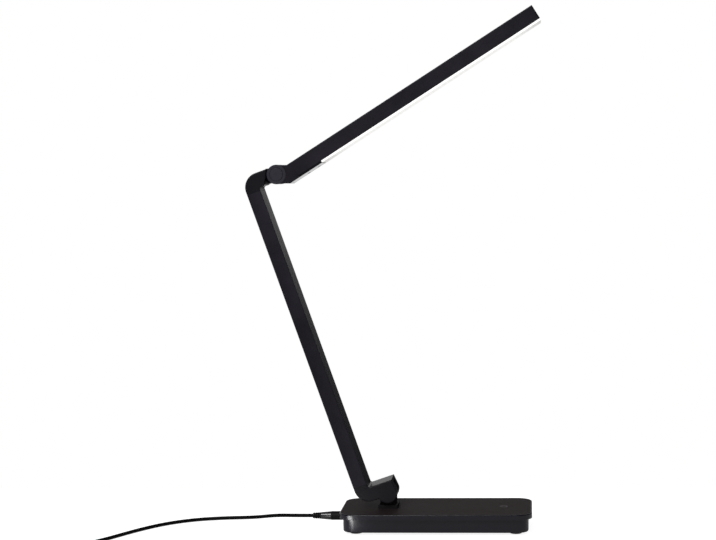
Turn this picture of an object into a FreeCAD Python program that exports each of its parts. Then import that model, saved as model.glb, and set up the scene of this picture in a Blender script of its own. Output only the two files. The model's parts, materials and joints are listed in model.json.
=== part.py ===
"""LED table lamp: weighted base, leaning arm on a friction hinge, tilting light bar and low-voltage lead.

Millimetres, Z up. The origin lies on the table under the middle of the base, X points to the lit side and
Y away from the viewer. Arm pieces are drawn upright from the lower hinge axis, and bar pieces level from
the upper one.
"""
import FreeCAD, Part
import math
import os
from FreeCAD import Vector

# Pose on the table, in degrees, and the travel that the hinges leave free
arm_lean = 18.7
head_rise = 31.45
arm_back_limit = 10.0
head_up_limit = 75.0

# Clearances
fit_gap = 0.15
shaft_gap = 0.05
slot_room = 0.5
shoulder_room = 1.1

# Base: a cover that overhangs a tray on four pads
base_length = 189.8
base_depth = 85.0
base_corner = 15.0
cover_overhang = 3.6
rim_height = 5.4
cover_plate = 2.2
cover_edge = 1.0
lip_wall = 1.4
lip_depth = 2.5
tray_height = 13.2
tray_wall = 2.2
tray_floor = 2.0
tray_edge = 1.5
pad_radius = 6.0
pad_stand = 2.4
pad_seat = 0.8
pad_edge = 0.5
pad_from_end = 16.1
pad_from_side = 16.5
boss_radius = 7.0
boss_rise = 2.2
post_radius = 3.8
screw_radius = 1.5
screw_head_radius = 2.7
screw_head_height = 1.8
screw_seat = 1.6
screw_length = 10.0

# Ballast, control board and touch sensor
weight_from_end = 46.5
weight_from_side = 12.0
weight_height = 8.0
weight_corner = 3.0
weight_stop = 1.6
weight_stop_height = 5.0
weight_stop_width = 24.0
board_length = 34.0
board_depth = 30.0
board_thick = 1.6
touch_from_end = 28.5
touch_radius = 6.0
touch_plate = 0.3
touch_pillar_radius = 3.0
touch_gap = 3.0
board_post_radius = 2.6
board_post_x = 12.5
board_post_y = 11.0
board_screw_radius = 1.0
board_screw_head_radius = 1.9
board_screw_head_height = 1.4
board_screw_length = 3.6
chip_length = 6.0
chip_depth = 5.0
chip_height = 1.3
inductor_radius = 3.2
inductor_height = 3.4
part_spread = 8.0

# Low-voltage socket and plug
socket_axis_height = 10.4
socket_side = 6.0
supply_side = 3.5
socket_length = 13.0
socket_width = 9.0
socket_height = 8.6
socket_nose_radius = 4.0
barrel_plug_radius = 1.75
barrel_plug_length = 9.0
socket_pin_radius = 0.55
grip_radius = 4.2
grip_length = 26.5
grip_taper = 11.0
grip_neck_radius = 3.6
grip_stand_off = 0.4
boot_length = 8.0
boot_end_radius = 2.7
boot_ribs = 4
boot_groove = 0.55

# Lower hinge: pedestal tongue between the arm's two cheeks
hinge_from_end = 46.8
hinge_height = 15.7
flange_length = 20.0
flange_depth = 23.0
flange_height = 3.6
flange_corner = 2.0
flange_edge = 0.6
tongue_width = 12.4
tongue_radius = 9.0
tongue_neck = 16.4
barrel_radius = 9.7
washer_room = 0.7
washer_thick = 0.6
washer_radius = 7.6
backing_length = 36.0
backing_depth = 36.0
backing_thick = 1.5
flange_screw_x = 6.5
flange_screw_y = 8.5
flange_screw_bite = 3.0
bolt_radius = 2.5
bolt_head_radius = 4.2
bolt_head_height = 2.6
spring_washer_thick = 0.3
nut_flats = 8.0
nut_height = 2.9
cap_radius = 6.5
cap_thick = 2.0
cap_proud = 0.3
cap_edge = 0.4
cheek_skin = 2.6
boss_proud = 0.5

# Arm: a rectangular tube between two moulded elbows
arm_width = 32.0
arm_thick = 14.3
arm_wall = 1.3
arm_corner = 1.2
elbow_radius = 15.0
elbow_inner = 2.0
elbow_wall = 2.4
elbow_edge = 1.1
elbow_side_wall = 3.0
tube_lap = 3.0
spigot_length = 18.0
spigot_wall = 2.6
hinge_span = 336.05
lower_offset = 23.2
upper_offset = 27.7
foot_below = 2.3
foot_reach = 8.5
stub_above = 8.65
wire_radius = 1.0
wire_room = 0.4
wire_bend = 6.0
arm_wire_bend = 8.0
pedestal_wire_side = 5.4
tongue_wire_rise = 5.0

# Light bar: knuckle, channel, tip cap, LED board and flush diffuser
bar_height = 15.1
bar_above = 2.35
bar_wall = 1.4
bar_corner = 1.0
bar_reach = 299.3
knuckle_bend = 32.7
knuckle_above = 9.4
knuckle_below = 8.9
knuckle_edge = 0.6
bar_seam = 18.0
ledge_depth = 1.0
ledge_thick = 1.0
diffuser_start = 45.0
diffuser_thick = 2.0
clip_wall = 1.0
clip_height = 2.2
clip_hook = 0.5
tip_thick = 1.6
tip_plug = 6.0
led_board_side = 1.6
led_board_thick = 1.0
led_board_start = 48.0
led_length = 3.5
led_width = 2.8
led_height = 0.8
led_pitch = 6.5
led_first = 62.0
tail_screw_radius = 1.25
tail_screw_head_radius = 2.5
tail_screw_head_height = 1.4
tail_screw_bite = 0.8
tail_screw_near = 26.0
tail_screw_far = 38.0

# Lead: free stretch, put-away coil with its tie, tail and power plug
lead_radius = 1.8
coil_x = -336.0
coil_y = -139.0
coil_outer = 29.5
coil_step = 4.2
coil_turns = 4
coil_entry_angle = 150.0
coil_exit_angle = 270.0
coil_lead_in = 22.0
coil_lift = 0.1
tail_length = 46.0
tail_side = 2.2
tail_straight = 15.0
tie_thick = 0.7
tie_width = 6.0
tie_angle = 20.0
usb_grip_length = 26.0
usb_grip_width = 15.6
usb_grip_height = 8.4
usb_grip_edge = 1.6
usb_boot_length = 10.0
usb_boot_radius = 2.9
usb_shell_length = 13.0
usb_shell_width = 12.0
usb_shell_height = 4.5
usb_shell_wall = 0.35
usb_insert_height = 1.9

# Heights and places that follow from the sizes
hinge_x = hinge_from_end - base_length / 2
touch_x = base_length / 2 - touch_from_end
weight_length = base_length - 2 * weight_from_end
weight_depth = base_depth - 2 * weight_from_side
led_board_width = arm_width - 2 * (bar_wall + led_board_side)
cover_under = pad_stand + tray_height
cover_top = cover_under + rim_height
plate_under = cover_top - cover_plate
floor_top = pad_stand + tray_floor
boss_top = floor_top + boss_rise
screw_under = boss_top - screw_seat
pad_x = base_length / 2 - pad_from_end
pad_y = base_depth / 2 - pad_from_side
pad_places = [(sx * pad_x, sy * pad_y) for sx in (-1, 1) for sy in (-1, 1)]
board_top = plate_under - touch_gap - touch_plate
board_under = board_top - board_thick
board_screws = [(touch_x - board_post_x, board_post_y), (touch_x + board_post_x, -board_post_y)]
flange_screws = [(hinge_x + sx * flange_screw_x, sy * flange_screw_y) for sx in (-1, 1) for sy in (-1, 1)]
tray_end = -base_length / 2 + cover_overhang
fork_half = tongue_width / 2 + washer_room
arm_half = arm_width / 2
lower_axis = Vector(hinge_x, 0, cover_top + hinge_height)
upper_in_arm = Vector(upper_offset - lower_offset, 0, hinge_span)
arm_outer = -lower_offset - arm_thick / 2
arm_inner = -lower_offset + arm_thick / 2
foot_top = arm_thick - foot_below
stub_below = arm_thick - stub_above
tube_low = elbow_radius + tube_lap - foot_below
tube_high = hinge_span + stub_above - elbow_radius - tube_lap
bar_under = bar_above - bar_height
head_fold = 90 - arm_lean + head_rise
arm_fold = 90 + arm_lean


def box(x0, x1, y0, y1, z0, z1):
    """Block between two corners."""
    return Part.makeBox(x1 - x0, y1 - y0, z1 - z0, Vector(x0, y0, z0))


def rod(radius, start, end):
    """Round bar between two points."""
    start = Vector(*start)
    along = Vector(*end) - start
    return Part.makeCylinder(radius, along.Length, start, along)


def pin(radius, x, z, y0, y1):
    """Round bar across the lamp, parallel to the hinge axes."""
    return rod(radius, (x, y0, z), (x, y1, z))


def fuse(shapes):
    """One solid from touching pieces, without the seams between them."""
    return shapes[0].multiFuse(shapes[1:]).removeSplitter()


def loop(corners, place):
    """Closed wire through corners (a, b, radius), each rounded, that place(a, b) sets in space."""
    edges, ends = [], []
    for i, (a, b, radius) in enumerate(corners):
        corner = place(a, b)
        before = (place(*corners[i - 1][:2]) - corner).normalize()
        after = (place(*corners[(i + 1) % len(corners)][:2]) - corner).normalize()
        if radius == 0:
            ends.append((corner, corner))
            continue
        half = before.getAngle(after) / 2
        reach = radius / math.tan(half)
        middle = corner + (before + after).normalize() * (radius / math.sin(half) - radius)
        start, stop = corner + before * reach, corner + after * reach
        edges.append(Part.Arc(start, middle, stop).toShape())
        ends.append((start, stop))
    for i, (start, stop) in enumerate(ends):
        begin = ends[i - 1][1]
        if begin.distanceToPoint(start) > 1e-6:
            edges.append(Part.LineSegment(begin, start).toShape())
    return Part.Wire(Part.__sortEdges__(edges))


def plate(length, depth, corner, z0, z1, x=0.0, y=0.0):
    """Flat block with rounded upright corners."""
    ends = [(-1, -1), (1, -1), (1, 1), (-1, 1)]
    corners = [(x + sx * length / 2, y + sy * depth / 2, corner) for sx, sy in ends]
    outline = loop(corners, lambda a, b: Vector(a, b, z0))
    return Part.Face(outline).extrude(Vector(0, 0, z1 - z0))


def inset_plate(inset, z0, z1):
    """The base's outline drawn in by inset."""
    return plate(base_length - 2 * inset, base_depth - 2 * inset, base_corner - inset, z0, z1)


def side_slab(corners, y0, y1):
    """Outline in X and Z, drawn across the lamp from y0 to y1."""
    outline = loop(corners, lambda a, b: Vector(a, y0, b))
    return Part.Face(outline).extrude(Vector(0, y1 - y0, 0))


def bar_slab(corners, x0, x1):
    """Cross-section in Y and Z, drawn along the light bar from x0 to x1."""
    outline = loop(corners, lambda a, b: Vector(x0, a, b))
    return Part.Face(outline).extrude(Vector(x1 - x0, 0, 0))


def hexagon(flats, x, z, y0, y1):
    """Six-sided bar across the lamp."""
    reach = flats / math.sqrt(3)
    turns = [math.radians(60 * i) for i in range(6)]
    return side_slab([(x + reach * math.cos(t), z + reach * math.sin(t), 0) for t in turns], y0, y1)


def soften(shape, radius, chosen):
    """Fillet on the edges that chosen(edge) picks."""
    return shape.makeFillet(radius, [edge for edge in shape.Edges if chosen(edge)])


def lies_at(edge, axis, value):
    """True for an edge all of whose box lies at one value of x, y or z."""
    bounds = edge.BoundBox
    low, high = getattr(bounds, axis + "Min"), getattr(bounds, axis + "Max")
    return abs(low - value) < 1e-4 and abs(high - value) < 1e-4


def on_side(edge):
    """True for an edge on the arm's two side faces."""
    return lies_at(edge, "Y", arm_half) or lies_at(edge, "Y", -arm_half)


def arm_place(shape):
    """From the upright arm to its lean on the table."""
    shape.rotate(Vector(), Vector(0, 1, 0), -arm_lean)
    shape.translate(lower_axis)
    return shape


upper_axis = lower_axis + FreeCAD.Rotation(Vector(0, 1, 0), -arm_lean).multVec(upper_in_arm)


def head_place(shape):
    """From the level light bar to its rise at the top of the arm."""
    shape.rotate(Vector(), Vector(0, 1, 0), -head_rise)
    shape.translate(upper_axis)
    return shape


def save(name, shape):
    """Write one node."""
    shape.exportStep("parts/" + name + ".step")


os.makedirs("parts", exist_ok=True)

# Base cover: rim, top plate, locating lip, screw posts and the pedestal's holes
lip_inset = cover_overhang + tray_wall + fit_gap
cover = inset_plate(0, cover_under, cover_top)
cover = soften(cover, cover_edge, lambda edge: lies_at(edge, "Z", cover_top))
lip = inset_plate(lip_inset, cover_under - lip_depth, cover_under)
hollow = inset_plate(lip_inset + lip_wall, cover_under - lip_depth, plate_under)
socket_x = tray_end + tray_wall
socket_back = socket_x + socket_length
socket_low = socket_axis_height - socket_height / 2
socket_y0, socket_y1 = socket_side - socket_width / 2, socket_side + socket_width / 2
socket_bay = box(tray_end, socket_back, socket_y0 - slot_room, socket_y1 + slot_room,
                 cover_under - lip_depth, cover_under)
cover = fuse([cover, lip]).cut(hollow).cut(socket_bay)
posts = [rod(post_radius, (x, y, boss_top), (x, y, plate_under)) for x, y in pad_places]
posts += [rod(board_post_radius, (x, y, board_top), (x, y, plate_under)) for x, y in board_screws]
cover = fuse([cover] + posts)
holes = [rod(screw_radius + shaft_gap, (x, y, boss_top), (x, y, screw_under + screw_length + fit_gap))
         for x, y in pad_places]
holes += [rod(board_screw_radius + shaft_gap, (x, y, board_top), (x, y, board_under + board_screw_length))
          for x, y in board_screws]
holes += [rod(screw_radius + fit_gap, (x, y, plate_under), (x, y, cover_top)) for x, y in flange_screws]
wire_x = hinge_x - pedestal_wire_side
holes.append(rod(wire_radius + wire_room, (wire_x, 0, plate_under), (wire_x, 0, cover_top)))
save("base_cover", cover.cut(Part.makeCompound(holes)))

# Base tray: tub with raised screw bosses, pad recesses, weight stops and the socket's wall opening
tray = inset_plate(cover_overhang, pad_stand, cover_under)
tray = soften(tray, tray_edge, lambda edge: lies_at(edge, "Z", pad_stand))
tray = tray.cut(inset_plate(cover_overhang + tray_wall, floor_top, cover_under))
stop_x = weight_length / 2 + fit_gap
stop_y = weight_depth / 2 + fit_gap
stop_half = weight_stop_width / 2
stop_top = floor_top + weight_stop_height
rises = [rod(boss_radius, (x, y, floor_top), (x, y, boss_top)) for x, y in pad_places]
rises.append(box(stop_x, stop_x + weight_stop, -stop_half, stop_half, floor_top, stop_top))
rises.append(box(-stop_x - weight_stop, -stop_x, -stop_half, stop_half, floor_top, stop_top))
rises.append(box(-stop_half, stop_half, stop_y, stop_y + weight_stop, floor_top, stop_top))
rises.append(box(-stop_half, stop_half, -stop_y - weight_stop, -stop_y, floor_top, stop_top))
rises.append(box(socket_x, socket_back, socket_y0, socket_y1, floor_top, socket_low))
tray = fuse([tray] + rises)
holes = [rod(pad_radius + fit_gap, (x, y, pad_stand), (x, y, pad_stand + pad_seat)) for x, y in pad_places]
holes += [rod(screw_head_radius + fit_gap, (x, y, pad_stand), (x, y, screw_under)) for x, y in pad_places]
holes += [rod(screw_radius + fit_gap, (x, y, pad_stand), (x, y, boss_top)) for x, y in pad_places]
socket_axis = (socket_side, socket_axis_height)
holes.append(rod(socket_nose_radius + fit_gap, (tray_end, *socket_axis), (socket_x, *socket_axis)))
save("base_tray", tray.cut(Part.makeCompound(holes)))

# Rubber pads, with the case screws hidden above them
pads = []
screws = []
for x, y in pad_places:
    pad = rod(pad_radius, (x, y, 0), (x, y, pad_stand + pad_seat))
    pads.append(soften(pad, pad_edge, lambda edge: lies_at(edge, "Z", 0.0)))
    head = rod(screw_head_radius, (x, y, screw_under - screw_head_height), (x, y, screw_under))
    screws.append(fuse([head, rod(screw_radius, (x, y, screw_under), (x, y, screw_under + screw_length))]))
save("foot_pads", Part.makeCompound(pads))
save("base_screws", Part.makeCompound(screws))

# Steel ballast on the tray floor
weight_top = floor_top + weight_height
save("base_weight", plate(weight_length, weight_depth, weight_corner, floor_top, weight_top))

# Touch control: board under the cover, its driver parts, and a sensor plate on a conductive pillar
board = plate(board_length, board_depth, board_post_radius, board_under, board_top, touch_x)
for x, y in board_screws:
    board = board.cut(rod(board_screw_radius + fit_gap, (x, y, board_under), (x, y, board_top)))
save("control_board", board)
chip_x = touch_x + part_spread / 2
chip = box(chip_x, chip_x + chip_length, -chip_depth / 2, chip_depth / 2, board_under - chip_height,
           board_under)
save("driver_chip", chip)
coil_at = touch_x - part_spread
save("inductor", rod(inductor_radius, (coil_at, 0, board_under - inductor_height), (coil_at, 0, board_under)))
sensor_under = plate_under - touch_plate
save("touch_plate", rod(touch_radius, (touch_x, 0, sensor_under), (touch_x, 0, plate_under)))
save("touch_pillar", rod(touch_pillar_radius, (touch_x, 0, board_top), (touch_x, 0, sensor_under)))
screws = []
for x, y in board_screws:
    head = rod(board_screw_head_radius, (x, y, board_under - board_screw_head_height), (x, y, board_under))
    shank = rod(board_screw_radius, (x, y, board_under), (x, y, board_under + board_screw_length - fit_gap))
    screws.append(fuse([head, shank]))
save("board_screws", Part.makeCompound(screws))

# Socket in the tray's end wall, with its centre pin
socket = box(socket_x, socket_back, socket_y0, socket_y1, socket_low, socket_low + socket_height)
nose = rod(socket_nose_radius, (tray_end, *socket_axis), (socket_x, *socket_axis))
bore_end = tray_end + barrel_plug_length
socket_bore = rod(barrel_plug_radius + shaft_gap, (tray_end, *socket_axis), (bore_end, *socket_axis))
centre_pin = rod(socket_pin_radius, (tray_end + 1, *socket_axis), (bore_end, *socket_axis))
save("dc_socket", fuse([fuse([socket, nose]).cut(socket_bore), centre_pin]))

# Plug in the socket: metal barrel, moulded grip and ribbed strain relief
grip_front = tray_end - grip_stand_off
barrel = rod(barrel_plug_radius, (grip_front, *socket_axis), (bore_end - fit_gap, *socket_axis))
pin_room = rod(socket_pin_radius + shaft_gap, (tray_end, *socket_axis), (bore_end, *socket_axis))
save("plug_barrel", barrel.cut(pin_room))
grip_back = grip_front - grip_length
taper_x = grip_back + grip_taper
profile = [(grip_front, 0), (grip_front, grip_radius), (taper_x, grip_radius), (grip_back, grip_neck_radius)]
profile.append((grip_back, 0))
rim_points = [Vector(x, 0, r) for x, r in profile]
grip = Part.Face(Part.makePolygon(rim_points + rim_points[:1])).revolve(Vector(), Vector(1, 0, 0), 360)
grip.translate(Vector(0, *socket_axis))
save("plug_grip", grip)
boot_end = grip_back - boot_length
rib = boot_length / boot_ribs
profile = [(grip_back, 0)]
for i in range(boot_ribs):
    crest = grip_neck_radius + (boot_end_radius - grip_neck_radius) * (i + 0.5) / boot_ribs
    start = grip_back - i * rib
    profile += [(start, crest), (start - rib * 0.6, crest)]
    profile += [(start - rib * 0.6, crest - boot_groove), (start - rib, crest - boot_groove)]
profile.append((boot_end, 0))
rim_points = [Vector(x, 0, r) for x, r in profile]
boot = Part.Face(Part.makePolygon(rim_points + rim_points[:1])).revolve(Vector(), Vector(1, 0, 0), 360)
boot.translate(Vector(0, *socket_axis))
save("plug_boot", boot)

# Pedestal: flange on the cover and a tongue that carries the lower hinge bolt
axis_z = lower_axis.z
flange_top = cover_top + flange_height
flange = plate(flange_length, flange_depth, flange_corner, cover_top, flange_top, hinge_x)
flange = soften(flange, flange_edge, lambda edge: lies_at(edge, "Z", flange_top))
tongue_half = tongue_width / 2
neck_low, neck_high = hinge_x - tongue_neck / 2, hinge_x + tongue_neck / 2
neck = box(neck_low, neck_high, -tongue_half, tongue_half, flange_top - flange_edge, axis_z)
eye = pin(tongue_radius, hinge_x, axis_z, -tongue_half, tongue_half)
pedestal = fuse([flange, neck, eye])
pedestal = pedestal.cut(pin(bolt_radius + shaft_gap, hinge_x, axis_z, -tongue_half, tongue_half))
pedestal = pedestal.cut(rod(wire_radius + wire_room, (wire_x, 0, cover_top),
                            (wire_x, 0, axis_z + tongue_radius)))
for x, y in flange_screws:
    pedestal = pedestal.cut(rod(screw_radius + shaft_gap, (x, y, cover_top),
                                (x, y, cover_top + flange_screw_bite)))
save("hinge_pedestal", pedestal)

# Steel plate under the cover that the pedestal is screwed to
backing = plate(backing_length, backing_depth, flange_corner, plate_under - backing_thick, plate_under,
                hinge_x)
backing_under = plate_under - backing_thick
screws = []
for x, y in flange_screws:
    backing = backing.cut(rod(screw_radius + fit_gap, (x, y, backing_under), (x, y, plate_under)))
    head = rod(screw_head_radius, (x, y, backing_under - screw_head_height), (x, y, backing_under))
    shank = rod(screw_radius, (x, y, backing_under), (x, y, cover_top + flange_screw_bite - fit_gap))
    screws.append(fuse([head, shank]))
backing = backing.cut(rod(wire_radius + wire_room, (wire_x, 0, backing_under), (wire_x, 0, plate_under)))
save("backing_plate", backing)
save("pedestal_screws", Part.makeCompound(screws))


def elbow(corners, cavity, spigot_from, spigot_to):
    """Moulded corner of the arm with its inner passage and the spigot that enters the tube."""
    body = soften(side_slab(corners, -arm_half, arm_half), elbow_edge, on_side)
    spigot_x = arm_thick / 2 - arm_wall - fit_gap
    spigot_y = arm_half - arm_wall - fit_gap
    spigot = plate(2 * spigot_x, 2 * spigot_y, arm_corner, spigot_from, spigot_to, -lower_offset)
    way_x, way_y = spigot_x - spigot_wall, spigot_y - spigot_wall
    way = box(-lower_offset - way_x, -lower_offset + way_x, -way_y, way_y, spigot_from, spigot_to)
    passage = side_slab(cavity, -arm_half + elbow_side_wall, arm_half - elbow_side_wall)
    return fuse([body, spigot]).cut(passage).cut(way)


# Lower elbow: foot with two round cheeks over the pedestal tongue, the front one closed outside. The flat
# end of the foot runs down tangent to the cheeks.
end_slope = math.atan2(foot_top, foot_reach) - math.acos(barrel_radius / math.hypot(foot_reach, foot_top))
end_low = (barrel_radius * math.cos(end_slope), barrel_radius * math.sin(end_slope), 0)
corners = [(arm_outer, tube_low, 0), (arm_outer, -foot_below, elbow_radius), (foot_reach, -foot_below, 0),
           end_low, (foot_reach, foot_top, 0), (arm_inner, foot_top, elbow_inner), (arm_inner, tube_low, 0)]
slot_radius = tongue_radius + slot_room
cavity_end = -slot_radius - elbow_wall
cavity = [(arm_outer + elbow_wall, tube_low, 0),
          (arm_outer + elbow_wall, elbow_wall - foot_below, elbow_radius - elbow_wall),
          (cavity_end, elbow_wall - foot_below, 0), (cavity_end, foot_top - elbow_wall, 0),
          (arm_inner - elbow_wall, foot_top - elbow_wall, 0), (arm_inner - elbow_wall, tube_low, 0)]
lower_elbow = elbow(corners, cavity, tube_low, tube_low + spigot_length)
lower_elbow = fuse([lower_elbow, pin(barrel_radius, 0, 0, -arm_half, arm_half)])
sweep = tongue_radius + barrel_radius
back_neck = box(-tongue_neck / 2 - slot_room, tongue_neck / 2 + slot_room, -fork_half, fork_half, -sweep, 0)
back_neck.rotate(Vector(), Vector(0, 1, 0), arm_lean + arm_back_limit)
slot = [pin(slot_radius, 0, 0, -fork_half, fork_half), back_neck]
slot.append(box(0, foot_reach + barrel_radius, -fork_half, fork_half, -sweep, slot_radius))
lower_elbow = lower_elbow.cut(fuse(slot))
wire_way = wire_radius + wire_room
foot_wire_z = (foot_top - foot_below) / 2
lower_elbow = lower_elbow.cut(rod(wire_way, (cavity_end, 0, foot_wire_z), (0, 0, foot_wire_z)))
nut_outside = fork_half + nut_height + fit_gap
bolt_tip = arm_half - cheek_skin
seat_cap = arm_half - cap_thick
seat_head = seat_cap - bolt_head_height - spring_washer_thick - fit_gap
bolt_way = pin(bolt_radius + shaft_gap, 0, 0, -bolt_tip - fit_gap, seat_head)
nut_room = hexagon(nut_flats + 2 * fit_gap, 0, 0, -nut_outside, -fork_half)
head_room = pin(bolt_head_radius + fit_gap, 0, 0, seat_head, seat_cap)
cap_room = pin(cap_radius + fit_gap, 0, 0, seat_cap, arm_half)
lower_elbow = lower_elbow.cut(bolt_way).cut(nut_room).cut(head_room).cut(cap_room)
save("lower_elbow", arm_place(lower_elbow))

# Lower hinge bolt from the back, captive nut, dished washer, friction washers and the one cap
under_head = seat_head + spring_washer_thick
bolt = fuse([pin(bolt_radius, 0, 0, -bolt_tip, under_head),
             pin(bolt_head_radius, 0, 0, under_head, under_head + bolt_head_height)])
save("lower_hinge_bolt", arm_place(bolt))
nut = hexagon(nut_flats, 0, 0, -fork_half - nut_height, -fork_half)
save("lower_hinge_nut", arm_place(nut.cut(pin(bolt_radius + shaft_gap, 0, 0, -nut_outside, 0))))
dish = pin(bolt_head_radius, 0, 0, seat_head, under_head)
dish = dish.cut(pin(bolt_radius + shaft_gap, 0, 0, seat_head, under_head))
save("lower_spring_washer", arm_place(dish))
cap = soften(pin(cap_radius, 0, 0, seat_cap, arm_half + cap_proud), cap_edge,
             lambda edge: lies_at(edge, "Y", arm_half + cap_proud))
save("lower_hinge_cap", arm_place(cap))


def friction_washers(x, z):
    """A pair of plain rings on the two faces of a tongue."""
    rings = []
    for y0, y1 in ((tongue_half, tongue_half + washer_thick), (-tongue_half - washer_thick, -tongue_half)):
        rings.append(pin(washer_radius, x, z, y0, y1).cut(pin(bolt_radius + shaft_gap, x, z, y0, y1)))
    return Part.makeCompound(rings)


save("lower_friction_washers", friction_washers(hinge_x, axis_z))

# Arm tube: extruded rectangle between the two elbows
tube = plate(arm_thick, arm_width, arm_corner, tube_low, tube_high, -lower_offset)
inner_x, inner_y = arm_thick - 2 * arm_wall, arm_width - 2 * arm_wall
tube = tube.cut(plate(inner_x, inner_y, arm_corner, tube_low, tube_high, -lower_offset))
save("arm_tube", arm_place(tube))

# Outline of the bar's rear knuckle, level on the bar and bent back to the hinge
bend = FreeCAD.Rotation(Vector(0, 1, 0), knuckle_bend)


def knuckle_outline(above, below, under, end):
    """Side view of the knuckle for given half heights, ending at a plane across the bar."""
    slope = math.tan(math.radians(knuckle_bend))
    fall = math.cos(math.radians(knuckle_bend))
    top_x = (above / fall - bar_above) / slope
    under_x = (-under - below / fall) / slope
    start = bend.multVec(Vector(0, 0, above))
    stop = bend.multVec(Vector(0, 0, -below))
    return [(start.x, start.z, 0), (top_x, bar_above, 0), (end, bar_above, 0), (end, under, 0),
            (under_x, under, 0), (stop.x, stop.z, 0)]


# Upper elbow: stub with a concave end round the knuckle, and the tongue that enters its fork
axis_x, axis_up = upper_in_arm.x, upper_in_arm.z
stub_top, stub_under = axis_up + stub_above, axis_up - stub_below
corners = [(arm_outer, tube_high, 0), (arm_outer, stub_top, elbow_radius), (axis_x, stub_top, 0),
           (axis_x, stub_under, 0), (arm_inner, stub_under, elbow_inner), (arm_inner, tube_high, 0)]
shoulder_radius = barrel_radius + shoulder_room
cavity_end = axis_x - shoulder_radius - shoulder_room - elbow_wall
cavity = [(arm_outer + elbow_wall, tube_high, 0),
          (arm_outer + elbow_wall, stub_top - elbow_wall, elbow_radius - elbow_wall),
          (cavity_end, stub_top - elbow_wall, 0), (cavity_end, stub_under + elbow_wall, 0),
          (arm_inner - elbow_wall, stub_under + elbow_wall, 0), (arm_inner - elbow_wall, tube_high, 0)]
upper_elbow = elbow(corners, cavity, tube_high - spigot_length, tube_high)
swept = knuckle_outline(knuckle_above, knuckle_below + shoulder_room, bar_under - shoulder_room, bar_reach)
folded = side_slab(swept, -arm_width, arm_width)
folded.rotate(Vector(), Vector(0, 1, 0), head_fold - head_rise + arm_lean)
folded.translate(upper_in_arm)
upper_elbow = upper_elbow.cut(pin(shoulder_radius, axis_x, axis_up, -arm_width, arm_width)).cut(folded)
tongue_top = min(stub_above, tongue_neck / 2)
tongue_bar = box(axis_x - shoulder_radius - shoulder_room, axis_x, -tongue_half, tongue_half, stub_under,
                 axis_up + tongue_top)
tongue_bar = tongue_bar.cut(folded.common(box(-arm_width, arm_width, -arm_width, arm_width, 0, stub_under)))
upper_elbow = fuse([upper_elbow, tongue_bar, pin(tongue_radius, axis_x, axis_up, -tongue_half, tongue_half)])
upper_elbow = upper_elbow.cut(pin(bolt_radius + shaft_gap, axis_x, axis_up, -tongue_half, tongue_half))
tongue_wire_z = axis_up + tongue_wire_rise
upper_elbow = upper_elbow.cut(rod(wire_way, (cavity_end, 0, tongue_wire_z),
                                  (axis_x + tongue_radius, 0, tongue_wire_z)))
save("upper_elbow", arm_place(upper_elbow))
save("upper_friction_washers", arm_place(friction_washers(axis_x, axis_up)))


def bent_path(points, bends):
    """Wire of straight runs joined by tangent arcs, with one arc radius for each inner point."""
    edges, start = [], points[0]
    for i, radius in enumerate(bends, 1):
        corner = points[i]
        before = (points[i - 1] - corner).normalize()
        after = (points[i + 1] - corner).normalize()
        half = before.getAngle(after) / 2
        reach = radius / math.tan(half)
        middle = corner + (before + after).normalize() * (radius / math.sin(half) - radius)
        edges.append(Part.LineSegment(start, corner + before * reach).toShape())
        edges.append(Part.Arc(corner + before * reach, middle, corner + after * reach).toShape())
        start = corner + after * reach
    edges.append(Part.LineSegment(start, points[-1]).toShape())
    return Part.Wire(edges)


def tube_along(path, radius):
    """Round tube along a smooth wire."""
    first = path.Edges[0]
    heading = first.tangentAt(first.FirstParameter)
    ring = Part.Wire([Part.Circle(first.valueAt(first.FirstParameter), heading, radius).toShape()])
    return path.makePipeShell([ring], True, False)


# Wires: socket to board, board to pedestal, and through the arm from hinge to hinge
wire_z = weight_top + wire_radius + fit_gap
supply = [Vector(socket_back, *socket_axis), Vector(socket_back + 1.5 * wire_bend, *socket_axis),
          Vector(socket_back + 3.5 * wire_bend, supply_side, wire_z),
          Vector(touch_x - board_length / 2 - fit_gap, supply_side, wire_z)]
save("supply_wire", tube_along(bent_path(supply, [2 * wire_bend, 2 * wire_bend]), wire_radius))
feed = [Vector(touch_x - board_length / 2 - fit_gap, wire_radius, wire_z),
        Vector(hinge_x + 2 * wire_bend, wire_radius, wire_z), Vector(wire_x, 0, wire_z),
        Vector(wire_x, 0, axis_z)]
save("base_wire", tube_along(bent_path(feed, [4 * wire_bend, wire_radius * 1.5]), wire_radius))
climb = [Vector(-slot_radius, 0, foot_wire_z), Vector(-lower_offset, 0, foot_wire_z),
         Vector(-lower_offset, 0, tongue_wire_z), Vector(axis_x + bolt_radius, 0, tongue_wire_z)]
save("arm_wire", arm_place(tube_along(bent_path(climb, [arm_wire_bend, arm_wire_bend]), wire_radius)))

# Knuckle: two cheeks with raised round faces, and a tail that fills the rear of the channel
tail_half = arm_half - bar_wall - fit_gap
tail_inner = tail_half - ledge_depth
tail_under = bar_under + diffuser_thick
knuckle = side_slab(knuckle_outline(knuckle_above, knuckle_below, bar_under, bar_seam), -arm_half, arm_half)
knuckle = soften(knuckle, knuckle_edge, lambda edge: on_side(edge) and not lies_at(edge, "X", bar_seam))
disc_half = arm_half + boss_proud
boss = soften(pin(barrel_radius, 0, 0, -disc_half, disc_half), boss_proud,
              lambda edge: lies_at(edge, "Y", disc_half) or lies_at(edge, "Y", -disc_half))
tail = [box(bar_seam, diffuser_start, -tail_half, tail_half, bar_under, tail_under),
        box(bar_seam, diffuser_start, -tail_inner, tail_inner, tail_under, bar_above - bar_wall - fit_gap)]
knuckle = fuse([knuckle, boss] + tail)
reach = tongue_radius + barrel_radius
slot = [pin(slot_radius, 0, 0, -fork_half, fork_half),
        box(-reach, stub_below + slot_room, -fork_half, fork_half, -reach, 0),
        box(-reach, tongue_top + slot_room, -fork_half, fork_half, 0, reach)]
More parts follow.
